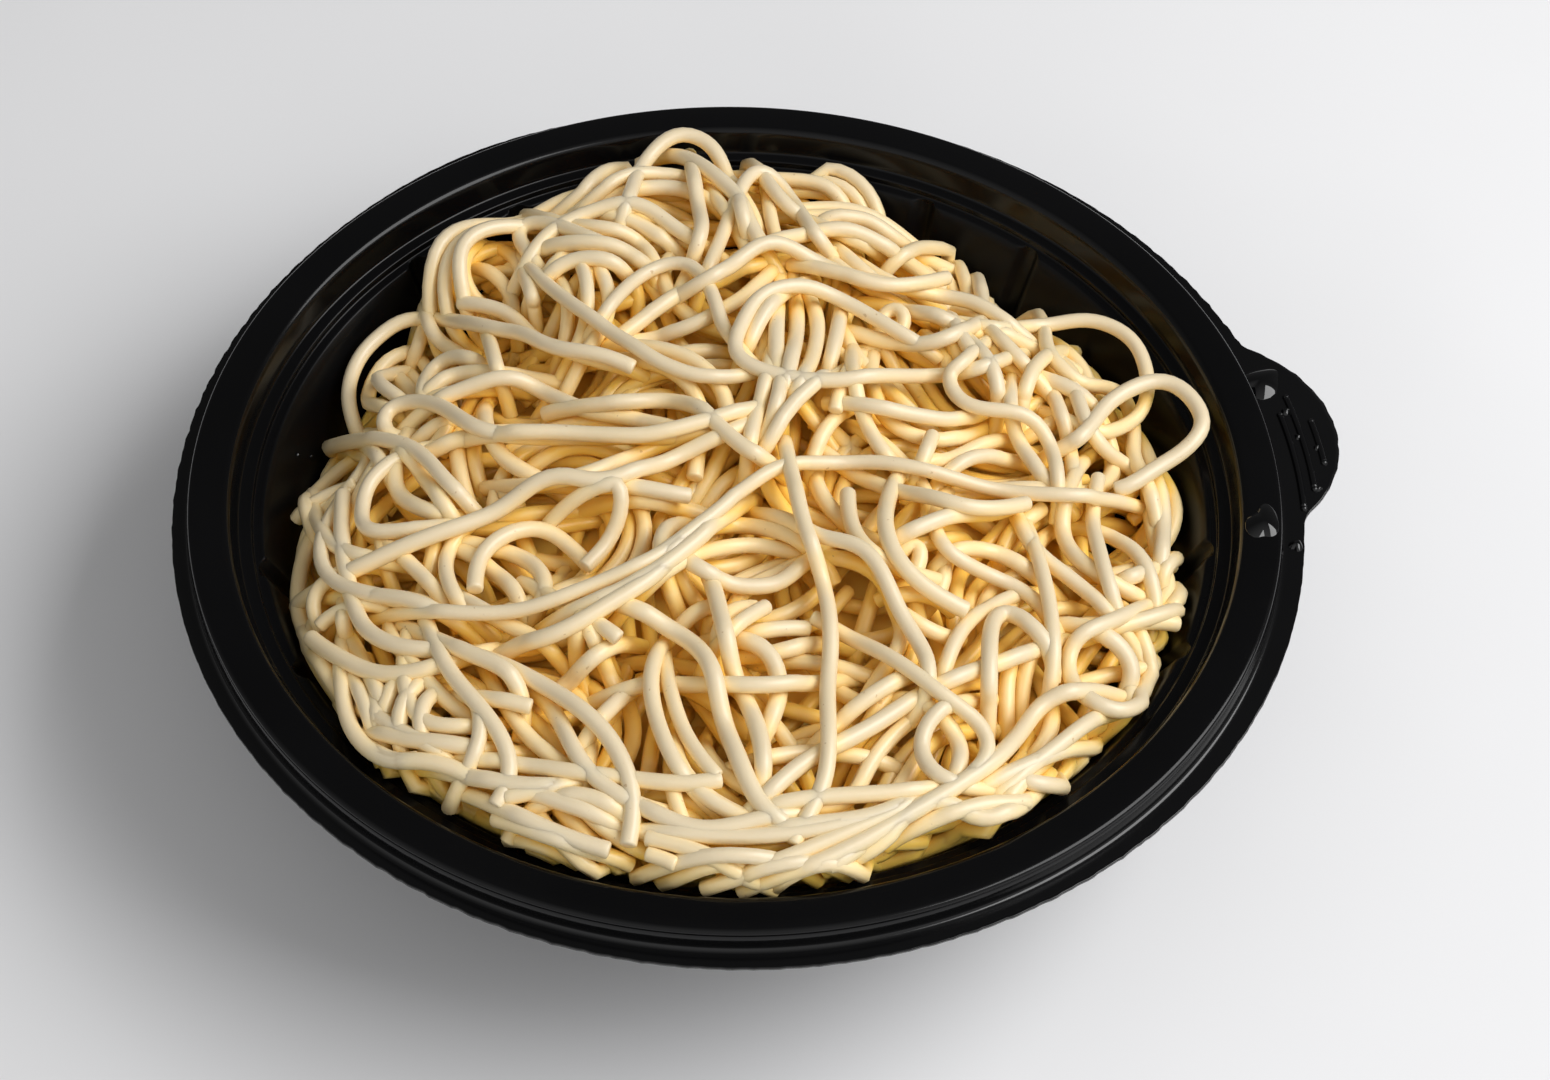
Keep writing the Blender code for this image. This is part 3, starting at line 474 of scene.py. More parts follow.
class NoodleSizes(bpy.types.PropertyGroup):
    thickness: a_length("Thickness", "Diameter of a cooked noodle", 2.74 * MM)
    unevenness: FloatProperty(
        name="Unevenness", description="Share by which the noodles differ in thickness",
        default=0.04, subtype="FACTOR")
    crown: a_length("Crown", "Height of the heap's middle above the rim", 7.5 * MM)
    depth: a_length("Loose depth", "Depth of the loose noodles over the core", 9 * MM)
    seed: IntProperty(name="Seed", description="Picks one lie of the noodles", default=11)
    most: IntProperty(
        name="Most noodles", description="Number of noodles at most below the top ones",
        default=230)


class Finish(bpy.types.PropertyGroup):
    plastic: a_colour("Plastic", "Colour of the bowl", (0.0016, 0.0016, 0.0018))
    # The noodle colours also paint shade: palest where open, warm for yellower noodles and shaded
    # flanks, deep orange in shaded gaps
    noodle: a_colour("Noodle", "Colour of the palest noodles", (0.75, 0.63, 0.43))
    noodle_warm_and_shade: a_colour("Warm noodle", "Colour of the yellowest noodles", (0.94, 0.73, 0.39))
    noodle_deep_shade: a_colour(
        "Deep noodle", "Colour of the noodles deep in the heap", (1.0, 0.64, 0.12))
    floor: a_colour("Floor", "Colour of the floor", (0.80, 0.80, 0.81))


def settings():
    scene = bpy.context.scene
    return scene.bowl_sizes, scene.noodle_sizes, scene.takeaway_finish


# Materials


class Term:
    """An output socket; sums and products of terms become Math nodes."""

    def __init__(self, look, socket):
        self.look = look
        self.socket = socket

    def math(self, operation, first, second):
        return self.look.node("ShaderNodeMath", {"operation": operation}, {0: first, 1: second})

    def __add__(self, other):
        return self.math("ADD", self, other)

    def __sub__(self, other):
        return self.math("SUBTRACT", self, other)

    def __rsub__(self, other):
        return self.math("SUBTRACT", other, self)

    def __mul__(self, other):
        return self.math("MULTIPLY", self, other)

    __radd__ = __add__
    __rmul__ = __mul__

    def between(self, low, high):
        """0 where the term is at the low value, 1 where it is at the high one."""
        return self.look.node(
            "ShaderNodeMapRange", {"interpolation_type": "SMOOTHSTEP"},
            {"Value": self, "From Min": low, "From Max": high})


class Look:
    """A material with one Principled shader."""

    def __init__(self, name, **constants):
        self.material = bpy.data.materials.new(name)
        self.material.use_nodes = True
        self.tree = self.material.node_tree
        self.shader = self.tree.nodes["Principled BSDF"]
        for socket, value in constants.items():
            self.shader.inputs[socket.replace("_", " ")].default_value = value

    def node(self, kind, options=(), inputs=(), output=0):
        """Adds a node: its settings first, then the values and links of its sockets."""
        made = self.tree.nodes.new(kind)
        for key, value in dict(options).items():
            setattr(made, key, value)
        for key, value in dict(inputs).items():
            self.put(made.inputs[key], value)
        return Term(self, made.outputs[output])

    def put(self, socket, value):
        if isinstance(value, Term):
            self.tree.links.new(value.socket, socket)
        else:
            socket.default_value = value

    def drive(self, socket, term):
        self.put(self.shader.inputs[socket], term)

    def place(self):
        return self.node("ShaderNodeTexCoord", output="Object")

    def from_axis(self):
        """Distance from the upright axis through the origin."""
        flat = self.node(
            "ShaderNodeVectorMath", {"operation": "MULTIPLY"}, {0: self.place(), 1: (1, 1, 0)})
        return self.node(
            "ShaderNodeVectorMath", {"operation": "LENGTH"}, {0: flat}, output="Value")

    def attribute(self, name):
        return self.node("ShaderNodeAttribute", {"attribute_name": name}, output="Fac")

    def noise(self, scale, detail):
        return self.node(
            "ShaderNodeTexNoise",
            inputs={"Vector": self.place(), "Scale": scale, "Detail": detail}, output="Fac")

    def mix(self, share, first, second):
        return self.node(
            "ShaderNodeMix", {"data_type": "RGBA"}, {0: share, 6: first, 7: second}, output=2)

    def bump(self, height, strength, distance):
        return self.node(
            "ShaderNodeBump",
            inputs={"Strength": strength, "Distance": distance, "Height": height})


def opaque(colour):
    return (*colour, 1.0)


def plastic_look(colour):
    """Black sheet, glossier from the rim outwards than on the wall."""
    look = Look("black_plastic", IOR=1.45, Specular_IOR_Level=0.15, Coat_Roughness=0.12)
    cloud = look.noise(18.0, 3.0)
    rub = look.noise(260.0, 4.0).between(0.52, 0.75)
    paler = tuple(1.5 * part for part in colour)
    look.drive("Base Color", look.mix(cloud.between(0.35, 0.7), opaque(colour), opaque(paler)))
    radius = look.from_axis()
    on_rim = radius.between(78 * MM, 86 * MM)
    on_skirt = radius.between(92 * MM, 92.6 * MM)
    look.drive("Coat Weight", on_rim * 0.25 + on_skirt * 0.35)
    look.drive("Roughness", 0.12 + cloud * 0.08 + rub * 0.05 + (1.0 - on_rim) * 0.16)
    look.drive("Normal", look.bump(look.noise(420.0, 2.0), 0.06, 0.0002))
    return look.material


def noodle_look(finish):
    """Moist cooked noodle with painted shade: paler on top, yellower the more others shade it."""
    look = Look(
        "cooked_noodle", IOR=1.42, Specular_IOR_Level=0.7, Subsurface_Weight=0.3,
        Subsurface_Radius=(1.0, 0.95, 0.85), Subsurface_Scale=1.0 * MM)
    tone = look.attribute("tone")
    # Painted shade: how much the noodles round about shade each point, worked out from the pile
    hidden = look.attribute("shade_occlusion")
    mottle = look.noise(90.0, 3.0)
    # The random tone and mottle are the noodles' own; the shade term paints shade on flanks and in
    # gaps
    warmth_from_tone_and_shade = hidden * 2.2 + tone * 0.25 + mottle * 0.3
    toned_and_shaded = look.mix(
        warmth_from_tone_and_shade.between(0.20, 1.0), opaque(finish.noodle), opaque(finish.noodle_warm_and_shade))
    # Painted shade: the gaps deep in the heap take the saturated orange of light passed through
    # noodles
    deep = look.mix(hidden.between(0.30, 0.85), toned_and_shaded, opaque(finish.noodle_deep_shade))
    speck = look.noise(900.0, 1.0).between(0.74, 0.80) * look.noise(120.0, 1.0).between(0.5, 0.6)
    look.drive("Base Color", look.mix(speck * 0.5, deep, opaque(SPECK_BROWN)))
    look.drive("Roughness", 0.28 + mottle * 0.16)
    look.drive("Normal", look.bump(look.noise(700.0, 3.0), 0.12, 0.0003))
    return look.material


def water_look(under):
    """Clear water on a dark sheet: what shows is the sheet's colour under a wet gloss."""
    look = Look(
        "water", IOR=1.33, Roughness=0.03, Specular_IOR_Level=1.0, Base_Color=opaque(under))
    return look.material


def floor_look(colour):
    look = Look("floor", Roughness=0.85)
    darker = tuple(0.97 * part for part in colour)
    share = look.noise(9.0, 2.0).between(0.3, 0.7)
    look.drive("Base Color", look.mix(share, opaque(colour), opaque(darker)))
    return look.material


# Shapes


def polar(radius, degrees, height):
    turn = math.radians(degrees)
    return Vector((radius * math.cos(turn), radius * math.sin(turn), height))


def azimuth_of(point):
    return math.degrees(math.atan2(point[1], point[0])) % 360.0


def angle_between(azimuth, centre):
    return (azimuth - centre + 180.0) % 360.0 - 180.0


def linked(name, data):
    """A new object in the scene."""
    made = bpy.data.objects.new(name, data)
    bpy.context.collection.objects.link(made)
    return made


def new_piece(name, mesh, look):
    """A shaded object at the origin that rides on the one body."""
    piece = linked(name, mesh)
    mesh.materials.clear()
    mesh.materials.append(look)
    mesh.shade_smooth()
    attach(piece, "root")
    return piece


def mesh_of(name, bm):
    mesh = bpy.data.meshes.new(name)
    bm.to_mesh(mesh)
    bm.free()
    return mesh


def give(mesh, name, values):
    """Stores one number for each point of the mesh."""
    mesh.attributes.new(name, "FLOAT", "POINT").data.foreach_set("value", values)


def turned(profile, steps):
    """Spins a row of points full round; each point keeps the number of its ring."""
    bm = bmesh.new()
    ring = bm.verts.layers.int.new("ring")
    verts = []
    for index, place in enumerate(profile):
        vert = bm.verts.new(place)
        vert[ring] = index
        verts.append(vert)
    edges = [bm.edges.new(pair) for pair in zip(verts, verts[1:])]
    bmesh.ops.spin(
        bm, geom=verts + edges, cent=(0, 0, 0), axis=(0, 0, 1), angle=math.tau,
        steps=steps, use_merge=True, use_duplicate=False)
    bmesh.ops.remove_doubles(bm, verts=bm.verts, dist=0.002 * MM)
    return bm, ring


# Bowl


def bowl_profile(sizes):
    """Kind, radius and height of each ring of the upper surface, from the middle outwards."""
    sheet = sizes.sheet
    foot, top = sizes.wall_foot, sizes.wall_top
    rings = [("floor", 0.0, sheet), ("floor", 0.5 * foot, sheet)]
    for step in range(9):
        turn = 0.5 * math.pi * step / 8
        rings.append((
            "floor", foot - FOOT_FILLET * (1 - math.sin(turn)),
            sheet + FOOT_FILLET * (1 - math.cos(turn))))
    wall_foot = sheet + FOOT_FILLET
    wall_top = RIM - 6.0 * MM
    for share in WALL_SHARES:
        rings.append((
            "wall", foot + (top - foot) * share, wall_foot + (wall_top - wall_foot) * share))
    rings.append(("wall", top, wall_top))
    rings += [("lip", radius * MM, RIM + depth * MM) for radius, depth in LIP]
    rings += [("flange", share, RIM - FLANGE_DEPTH) for share in FLANGE_SHARES]
    return rings


def flute_share(azimuth):
    """1 in the middle of a flute, 0 between them."""
    nearest = min(
        abs(angle_between(azimuth, FIRST_PAIR + 360.0 / FLUTE_PAIRS * pair + side))
        for pair in range(FLUTE_PAIRS) for side in (-FLUTE_SPREAD, FLUTE_SPREAD))
    slope = min(1.0, max(0.0, (FLUTE_HALF - nearest) / FLUTE_SLOPE))
    return slope * slope * (3.0 - 2.0 * slope)


def flange_edge(azimuth, ragged):
    """Radius of the cut edge: a trim circle a little off centre, with the tab beyond it."""
    turn = math.radians(azimuth)
    trim = TRIM_RADIUS + TRIM_SHIFT * math.cos(turn)
    trim += BULGE * math.exp(-(angle_between(azimuth, BULGE_AZIMUTH) / BULGE_WIDTH) ** 2)
    small = math.sin(233 * turn) * math.sin(57 * turn + 1.0)
    teeth = math.sin(91 * turn) + math.sin(173 * turn + 2.0) + small
    bite = ragged * (teeth / 3 - 1.0) * (0.4 + 0.6 * math.sin(2.5 * turn + 0.6) ** 2)
    swing = math.radians(angle_between(azimuth, TAB_AZIMUTH))
    reach = TAB_RADIUS ** 2 - (TAB_CENTRE * math.sin(swing)) ** 2
    if reach <= 0.0 or abs(swing) > 1.0:
        return trim + bite
    over = TAB_CENTRE * math.cos(swing) + math.sqrt(reach) - trim
    return trim + bite + 0.5 * (over + math.sqrt(over ** 2 + TAB_BLEND ** 2))


def bowl_sheet(sizes):
    """Spins the profile, then presses the flutes in and draws the flange out to its edge."""
    rings = bowl_profile(sizes)
    starts = [
        (FLANGE_START + radius * MM if kind == "flange" else radius, 0.0, height)
        for kind, radius, height in rings]
    bm, ring = turned(starts, steps=sizes.columns)
    for vert in bm.verts:
        kind, radius, height = rings[vert[ring]]
        azimuth = azimuth_of(vert.co)
        out = sizes.flute_depth * flute_share(azimuth)
        if kind == "wall":
            share = (radius - sizes.wall_foot) / (sizes.wall_top - sizes.wall_foot)
            vert.co = polar(radius + out * min(1.0, share / 0.15), azimuth, height)
        elif kind == "lip" and radius < FLUTED_LIP:
            vert.co = polar(max(radius, sizes.wall_top + out), azimuth, height)
        elif kind == "flange":
            width = flange_edge(azimuth, sizes.edge_ragged) - FLANGE_START
            vert.co = polar(FLANGE_START + width * radius, azimuth, height)
    bm.normal_update()
    if sum(face.normal.z for face in bm.faces) < 0:
        bmesh.ops.reverse_faces(bm, faces=bm.faces)
    return bm


def grip_ribs():
    """Low rounded bars swept along arcs about the bowl's axis, sunk a little into the tab."""
    bm = bmesh.new()
    for radius, start, end in GRIP_RIBS:
        section = []
        for step in range(7):
            turn = math.pi * step / 6
            section.append(bm.verts.new(polar(
                radius * MM - RIB_RADIUS * math.cos(turn), start,
                RIB_HEIGHT + RIB_RADIUS * math.sin(turn))))
        face = bm.faces.new(section)
        bmesh.ops.spin(
            bm, geom=[face], cent=(0, 0, 0), axis=(0, 0, 1), angle=math.radians(end - start),
            steps=24, use_duplicate=False, use_merge=False)
        for azimuth in (start, end):
            cap = bmesh.ops.create_uvsphere(bm, u_segments=16, v_segments=10, radius=RIB_END)
            middle = polar(radius * MM, azimuth, RIB_HEIGHT)
            bmesh.ops.translate(bm, verts=cap["verts"], vec=middle)
    bm.normal_update()
    bmesh.ops.recalc_face_normals(bm, faces=bm.faces)
    return bm


# Heap


def smooth_between(pairs, values):
    """Interpolates a table of azimuths, flat at each entry."""
    stops, levels = np.array(pairs, float).T
    index = np.clip(np.searchsorted(stops, values, side="right") - 1, 0, len(stops) - 2)
    share = (values - stops[index]) / (stops[index + 1] - stops[index])
    share = share * share * (3.0 - 2.0 * share)
    return levels[index] * (1.0 - share) + levels[index + 1] * share


def inner_wall(height, sizes):
    """Radius of the wall's inside at a height."""
    low, high = sizes.sheet + FOOT_FILLET, RIM - WALL_LEDGE
    share = np.clip((height - low) / (high - low), 0.0, 1.0)
    inside = sizes.wall_foot + (sizes.wall_top - sizes.wall_foot) * share
    return np.where(height > RIM - LID_LEDGE, LEDGE_RADIUS, inside)


class HeapForm:
    """The even form of the heap, from which the noodles stray a little."""

    # How flat the middle is: the power of the share of the way out with which the heap falls
    FLATNESS = 2.6

    def __init__(self, bowl, noodles):
        self.bowl = bowl
        self.crown = RIM + noodles.crown

    def around(self, table, x, y):
        return smooth_between(table, np.degrees(np.arctan2(y, x)) % 360.0) * MM

    def edge(self, x, y):
        """Height at which the heap meets the wall."""
        return RIM - self.around(CONTACT_DEPTHS, x, y)

    def share(self, x, y):
        """0 in the middle of the heap, 1 where it meets the wall."""
        return np.hypot(x, y) / inner_wall(self.edge(x, y), self.bowl)

    def height(self, x, y):
        share = np.minimum(self.share(x, y), 1.15)
        return self.crown - (self.crown - self.edge(x, y)) * share ** self.FLATNESS

    def slack(self, x, y):
        """How much lower the heap lies beside the wall, where it stands clear of it."""
        near = np.clip((self.share(x, y) - 0.84) / 0.16, 0.0, 1.0)
        return self.around(CLEAR_DEPTHS, x, y) * near * near * (3.0 - 2.0 * near)


class Pile:
    """The height of all that lies in the bowl so far, on a square grid."""

    STEP = 0.5 * MM
    HALF = 86 * MM

    def __init__(self, form, loose):
        count = int(2 * self.HALF / self.STEP) + 1
        axis = np.linspace(-self.HALF, self.HALF, count)
        self.x, self.y = np.meshgrid(axis, axis, indexing="ij")
        self.form = form
        self.share = form.share(self.x, self.y)
        self.top = form.height(self.x, self.y)
        self.slack = form.slack(self.x, self.y)
        self.height = np.where(self.share < 1.02, self.top - loose, self.top - 2.4 * loose)
        self.height -= self.slack

    def cells(self, points):
        index = np.rint((points[..., :2] + self.HALF) / self.STEP).astype(int)
        return np.clip(index, 0, self.x.shape[0] - 1)

    def at(self, grid, points):
        """Values of a grid of the pile at some points."""
        cells = self.cells(points)
        return grid[cells[..., 0], cells[..., 1]]

    def under(self, points, radius):
        """Rows and columns under a noodle at each point, and the rise of its underside."""
        reach = int(radius / self.STEP)
        span = range(-reach, reach + 1)
        offsets = [(i, j) for i in span for j in span if math.hypot(i, j) * self.STEP < radius]
        offsets = np.array(offsets)
        rise = np.sqrt(radius ** 2 - (offsets ** 2).sum(1) * self.STEP ** 2)
        cells = self.cells(points)[:, None, :] + offsets[None]
        cells = np.clip(cells, 0, self.x.shape[0] - 1)
        return cells[..., 0], cells[..., 1], rise

    def contact(self, points, radius):
        """Height of a noodle's middle where it touches what lies below it."""
        rows, columns, rise = self.under(points, radius)
        return (self.height[rows, columns] + rise).max(1)

    def lay(self, points, radius):
        rows, columns, rise = self.under(points, radius)
        np.maximum.at(self.height, (rows, columns), points[:, 2][:, None] + rise)

    def missing(self, target):
        """How far the pile is below its target, blurred over about a noodle's width."""
        short = np.clip(target - self.height, -3 * MM, 3 * MM)
        for axis in (0, 1):
            total = sum(np.roll(short, shift, axis) for shift in range(-3, 4))
            short = total / 7.0
        return short


def draped(path, pile, radius, tucks, held=None):
    """Lets a path down on the pile: it bridges small dips, as a limp noodle does."""
    height = crested(pile.contact(path, radius))
    if held is not None:
        even = pile.at(pile.top, path)
        height = np.clip(height, even - STRAY, even + STRAY)
        height = np.where(np.isnan(held), height, held)
    height = evened(height, 3)
    count = np.arange(len(path))
    for tuck, ease in zip(tucks, (count, count[::-1])):
        height = height - tuck * np.clip(1.0 - ease / DIVE_POINTS, 0.0, 1.0) ** 1.5
    height = np.minimum(height, TOP_LIMIT - radius - 0.1 * MM)
    return np.column_stack([path[:, :2], height])


def crested(values):
    """The highest of each value and its two neighbours on both sides."""
    padded = np.pad(values, 2, mode="edge")
    return np.max([padded[i:i + len(values)] for i in range(5)], axis=0)


def evened(values, reach):
    """A moving average along a path, its ends held."""
    weights = np.array([1.0, 2.0, 3.0, 2.0, 1.0])
    for _ in range(reach):
        padded = np.pad(values, 2, mode="edge")
        values = sum(w * padded[i:i + len(values)] for i, w in enumerate(weights)) / 9.0
    return values


def loosened(path, rounds):
    """Takes the small kinks out of a path."""
    return np.column_stack([evened(column, rounds) for column in path.T])


def kept_inside(points, radius, bowl):
    """Pulls the points of a noodle in from the wall."""
    wall = inner_wall(points[:, 2] - 0.5 * radius, bowl) - radius - 0.25 * MM
    far = np.hypot(points[:, 0], points[:, 1])
    pull = np.minimum(1.0, wall / np.maximum(far, 0.001 * MM))
    return np.column_stack([points[:, :2] * pull[:, None], points[:, 2]])


def through(points, spacing):
    """Evenly spaced points on one smooth curve through the given points."""
    knots = np.vstack([2 * points[0] - points[1], points, 2 * points[-1] - points[-2]])
    share = np.linspace(0.0, 1.0, 24, endpoint=False)[:, None]
    fine = []
    for before, start, end, after in zip(knots, knots[1:], knots[2:], knots[3:]):
        fine.append(0.5 * (
            2 * start + (end - before) * share
            + (2 * before - 5 * start + 4 * end - after) * share ** 2
            + (3 * start - before - 3 * end + after) * share ** 3))
    fine = np.vstack(fine + [points[-1:]])
    walked = np.concatenate([[0.0], np.cumsum(np.linalg.norm(np.diff(fine, axis=0), axis=1))])
    marks = np.linspace(0.0, walked[-1], max(3, int(walked[-1] / spacing) + 1))
    return np.column_stack([np.interp(marks, walked, fine[:, i]) for i in range(fine.shape[1])])


def ways(course):
    """Unit vectors along some headings."""
    return np.stack([np.cos(course), np.sin(course)], -1)


def wander(pile, short, rng, length):
    """A path that starts on low ground and keeps turning, gently, towards more of it."""
    spots = rng.uniform(-SPREAD, SPREAD, (SPOTS, 2))
    room = pile.at(short, spots) + rng.uniform(0, 0.8 * MM, len(spots))
    room[pile.at(pile.share, spots) > FILLED] = -1.0
    place = spots[room.argmax()]
    heading = best_heading(pile, short, place, rng)
    bend = 0.0
    leaning = rng.normal(0.0, math.radians(1.6))
    path = [place]
    reach = np.arange(1, 6)[:, None]
    for _ in range(int(length / STRIDE)):
        tries = KEPT_BEND * bend + 0.15 * leaning + BENDS
        tries = np.clip(tries, -SHARPEST, SHARPEST)
        course = heading + tries * (reach + 1) / 2
        ahead = place + STRIDE * reach[..., None] * ways(course)
        gain = pile.at(short, ahead).mean(0)
        wall = np.clip(pile.at(pile.share, ahead) - 0.965, 0, None).sum(0)
        score = gain - wall * WALL_COST * MM - np.abs(tries - bend) * BEND_COST * MM
        score += rng.normal(0.0, 0.25 * MM, len(score))
        pick = score.argmax()
        bend = tries[pick]
        heading += bend
        place = place + STRIDE * np.array([math.cos(heading), math.sin(heading)])
        if pile.at(pile.share, place) > 1.01:
            break
        path.append(place)
        if len(path) > SURE_STRIDES and gain[pick] < -TOO_HIGH:
            break
    return np.array(path)


def best_heading(pile, short, place, rng):
    """The one of 16 headings along which the ground is lowest."""
    headings = rng.uniform(0, math.tau) + np.arange(16) * math.tau / 16
    reach = np.arange(2, 9)[:, None] * STRIDE
    ahead = place + reach[..., None] * ways(headings)
    return headings[pile.at(short, ahead).mean(0).argmax()]


def beside(path, shift, rng):
    """A second path that runs next to the first, closing in and drifting off a little."""
    along = np.gradient(path, axis=0)
    along /= np.linalg.norm(along, axis=1)[:, None]
    across = np.column_stack([-along[:, 1], along[:, 0]])
    drift = evened(rng.normal(0.0, 2.2 * MM, len(path)), 6)
    first = rng.integers(0, max(1, len(path) // 4))
    last = len(path) - rng.integers(0, max(1, len(path) // 4))
    return (path + across * (shift + drift)[:, None])[first:last]


def lay_noodle(pile, flat, radius, bowl, tucks, held=None):
    """Drapes one path on the pile, its ends tucked in, and keeps it clear of the wall."""
    laid = kept_inside(draped(flat, pile, radius, tucks, held), radius, bowl)
    pile.lay(through(laid, 0.4 * MM), radius)
    return laid


def sighted(path, laid, pile, held):
    """Slides a path along the lines of sight, so that it is seen where the table has it."""
    rise = laid[:, 2] - pile.form.height(path[:, 0], path[:, 1]) - SEEN_LIFT
    rise = np.where(np.isnan(held), np.clip(rise, -STRAY, STRAY), 0.0)
    towards = (np.array(CAMERA_PLACE[:2]) - path) / (CAMERA_PLACE[2] - laid[:, 2])[:, None]
    return path + towards * evened(rise, 2)[:, None]


def lay_at_wall(pile, noodles, bowl):
    """Lays the noodles that follow the wall on the near side, one over the other."""
    done = []
    for start, end, reach in WALL_NOODLES:
        turns = np.radians(np.linspace(start, end, 60))
        out = (reach + 0.7 * np.sin(7 * turns)) * MM
        flat = np.stack([out * np.cos(turns), out * np.sin(turns)], axis=1)
        radius = 0.5 * noodles.thickness
        free = np.full(len(flat), np.nan)
        done.append((lay_noodle(pile, flat, radius, bowl, (DIVE, DIVE), free), radius))
    return done


def some_radius(noodles, rng):
    return 0.5 * noodles.thickness * (1 + noodles.unevenness * rng.normal())


def lay_filling(pile, noodles, bowl):
    """Fills the heap from its core up, and returns the path and radius of each noodle."""
    rng = np.random.default_rng(noodles.seed)
    near = np.clip((pile.share - 0.62) / 0.28, 0.0, 1.0)
    target = pile.top - (FILL_DEPTH - FILL_RISE * near) * MM + lumps(pile) * (1.0 - 0.5 * near)
    target -= pile.slack
    inside = pile.share < FILLED
    done = []
    while len(done) < noodles.most:
        short = pile.missing(target)
        if (short[inside] > REST_SHORT).mean() < REST:
            break
        path = wander(pile, short, rng, rng.uniform(*LENGTHS) * MM)
        if len(path) < FEWEST:
            continue
        path = loosened(through(path, FILL_STEP), 3)
        group = [path]
        for side in (1, -1)[:rng.choice([0, 0, 1, 1, 2])]:
            group.append(beside(path, side * noodles.thickness * BESIDE, rng))
        for flat in group:
            if len(flat) > FEWEST:
                radius = some_radius(noodles, rng)
                done.append((lay_noodle(pile, flat, radius, bowl, (DIVE, DIVE)), radius))
    return done + lay_at_wall(pile, noodles, bowl)


def lumps(pile):
    """Slow rises and dips of the heap's surface."""
    x, y = pile.x / MM, pile.y / MM
    wave = np.sin(x / 11.0 + 1.3) * np.cos(y / 13.0 + 0.4) + 0.7 * np.sin((x + y) / 8.5)
    return 0.8 * MM * wave


def lay_top(pile, noodles, bowl):
    """Lays the noodles of the table, and returns the path and radius of each."""
    rng = np.random.default_rng(noodles.seed + 1)
    cuts = np.array(CUT_ENDS) * MM
    done = []
    for places in TOP_NOODLES:
        flat = np.array([place[:2] for place in places], float) * MM
        known = [RIM + place[2] * MM if len(place) == 3 else np.nan for place in places]
        shown = [np.hypot(*(cuts - end).T).min() < 3.5 * MM for end in (flat[0], flat[-1])]
        path = loosened(through(flat, TOP_STEP), 2)
        nearest = [np.hypot(*(flat - point).T).argmin() for point in path]
        held = np.array([known[index] for index in nearest])
        if not shown[0]:
            path, held = prolonged(path[::-1], held[::-1])
            path, held = path[::-1], held[::-1]
        if not shown[1]:
            path, held = prolonged(path, held)
        radius = some_radius(noodles, rng)
        tucks = [0.6 * MM if cut else DIVE for cut in shown]
        seen = path
        for _ in range(2):
            seen = sighted(path, draped(seen, pile, radius, tucks, held), pile, held)
        done.append((lay_noodle(pile, seen, radius, bowl, tucks, held), radius))
    return done


def prolonged(path, held):
    """Carries a path on past its last point, along the way that it was bending."""
    near = path[-1] - path[-3]
    far = path[-3] - path[-5] if len(path) > 4 else near
    turn = math.atan2(far[0] * near[1] - far[1] * near[0], far @ near) / 2
    turn = max(-SHARPEST_END, min(SHARPEST_END, turn))
    heading = math.atan2(near[1], near[0])
    more = [path[-1]]
    for _ in range(DIVE_POINTS - 2):
        heading += turn
        more.append(more[-1] + TOP_STEP * np.array([math.cos(heading), math.sin(heading)]))
    return np.vstack([path, more[1:]]), np.append(held, [np.nan] * (DIVE_POINTS - 2))


def noodle_mesh(name, noodles, pile, sides, seed):
    """Sweeps round noodles with rounded cut ends along their paths, as one mesh."""
    curve = bpy.data.curves.new(name, "CURVE")
    curve.dimensions = "3D"
    curve.bevel_depth = 1.0
    curve.bevel_resolution = sides // 2 - 2
    rng = np.random.default_rng(seed)
    counts = []
    tones = []
    for path, radius in noodles:
        points, radii = with_round_ends(path, radius, rng)
        spline = curve.splines.new("POLY")
        spline.points.add(len(points) - 1)
        spline.points.foreach_set("co", np.column_stack([points, np.ones(len(points))]).ravel())
        spline.points.foreach_set("radius", radii)
        counts.append(len(points) * sides)
        tones.append(rng.uniform())
    guide = linked(name, curve)
    bpy.context.view_layer.update()
    graph = bpy.context.evaluated_depsgraph_get()
    mesh = bpy.data.meshes.new_from_object(guide.evaluated_get(graph))
    bpy.data.objects.remove(guide, do_unlink=True)
    bpy.data.curves.remove(curve)
    mesh.name = name
    close_ends(mesh)
    if sum(counts) != len(mesh.vertices):
        raise RuntimeError(f"the noodles have {len(mesh.vertices)} points, not {sum(counts)}")
    places = np.empty(3 * len(mesh.vertices))
    mesh.vertices.foreach_get("co", places)
    give(mesh, "tone", np.repeat(tones, counts))
    # Painted shade: the share of sky hidden at each point, for the noodles' colour
    give(mesh, "shade_occlusion", shade_occlusion(pile, places.reshape(-1, 3)))
    return mesh


def close_ends(mesh):
    """Puts a flat cut on both ends of each noodle."""
    bm = bmesh.new()
    bm.from_mesh(mesh)
    rims = [edge for edge in bm.edges if edge.is_boundary]
    bmesh.ops.holes_fill(bm, edges=rims, sides=0)
    bmesh.ops.recalc_face_normals(bm, faces=bm.faces)
    bm.to_mesh(mesh)
    bm.free()


def shade_occlusion(pile, places):
    """How much of the sky the noodles round about hide from each place, from 0 to 1; it sets the
    painted shade.
    """
    cells = pile.cells(places)
    hidden = np.zeros(len(places))
    ways_round = 12
    for turn in np.arange(ways_round) * math.tau / ways_round:
        slope = np.zeros(len(places))
        for reach in (1.5 * MM, 3 * MM, 5 * MM, 8 * MM):
            shift = np.rint(reach / pile.STEP * np.array([math.cos(turn), math.sin(turn)]))
            near = np.clip(cells + shift.astype(int), 0, len(pile.height) - 1)
            rise = pile.height[near[:, 0], near[:, 1]] - places[:, 2]
            slope = np.maximum(slope, rise / reach)
        hidden += slope ** 2 / (1.0 + slope ** 2)
    return hidden / ways_round


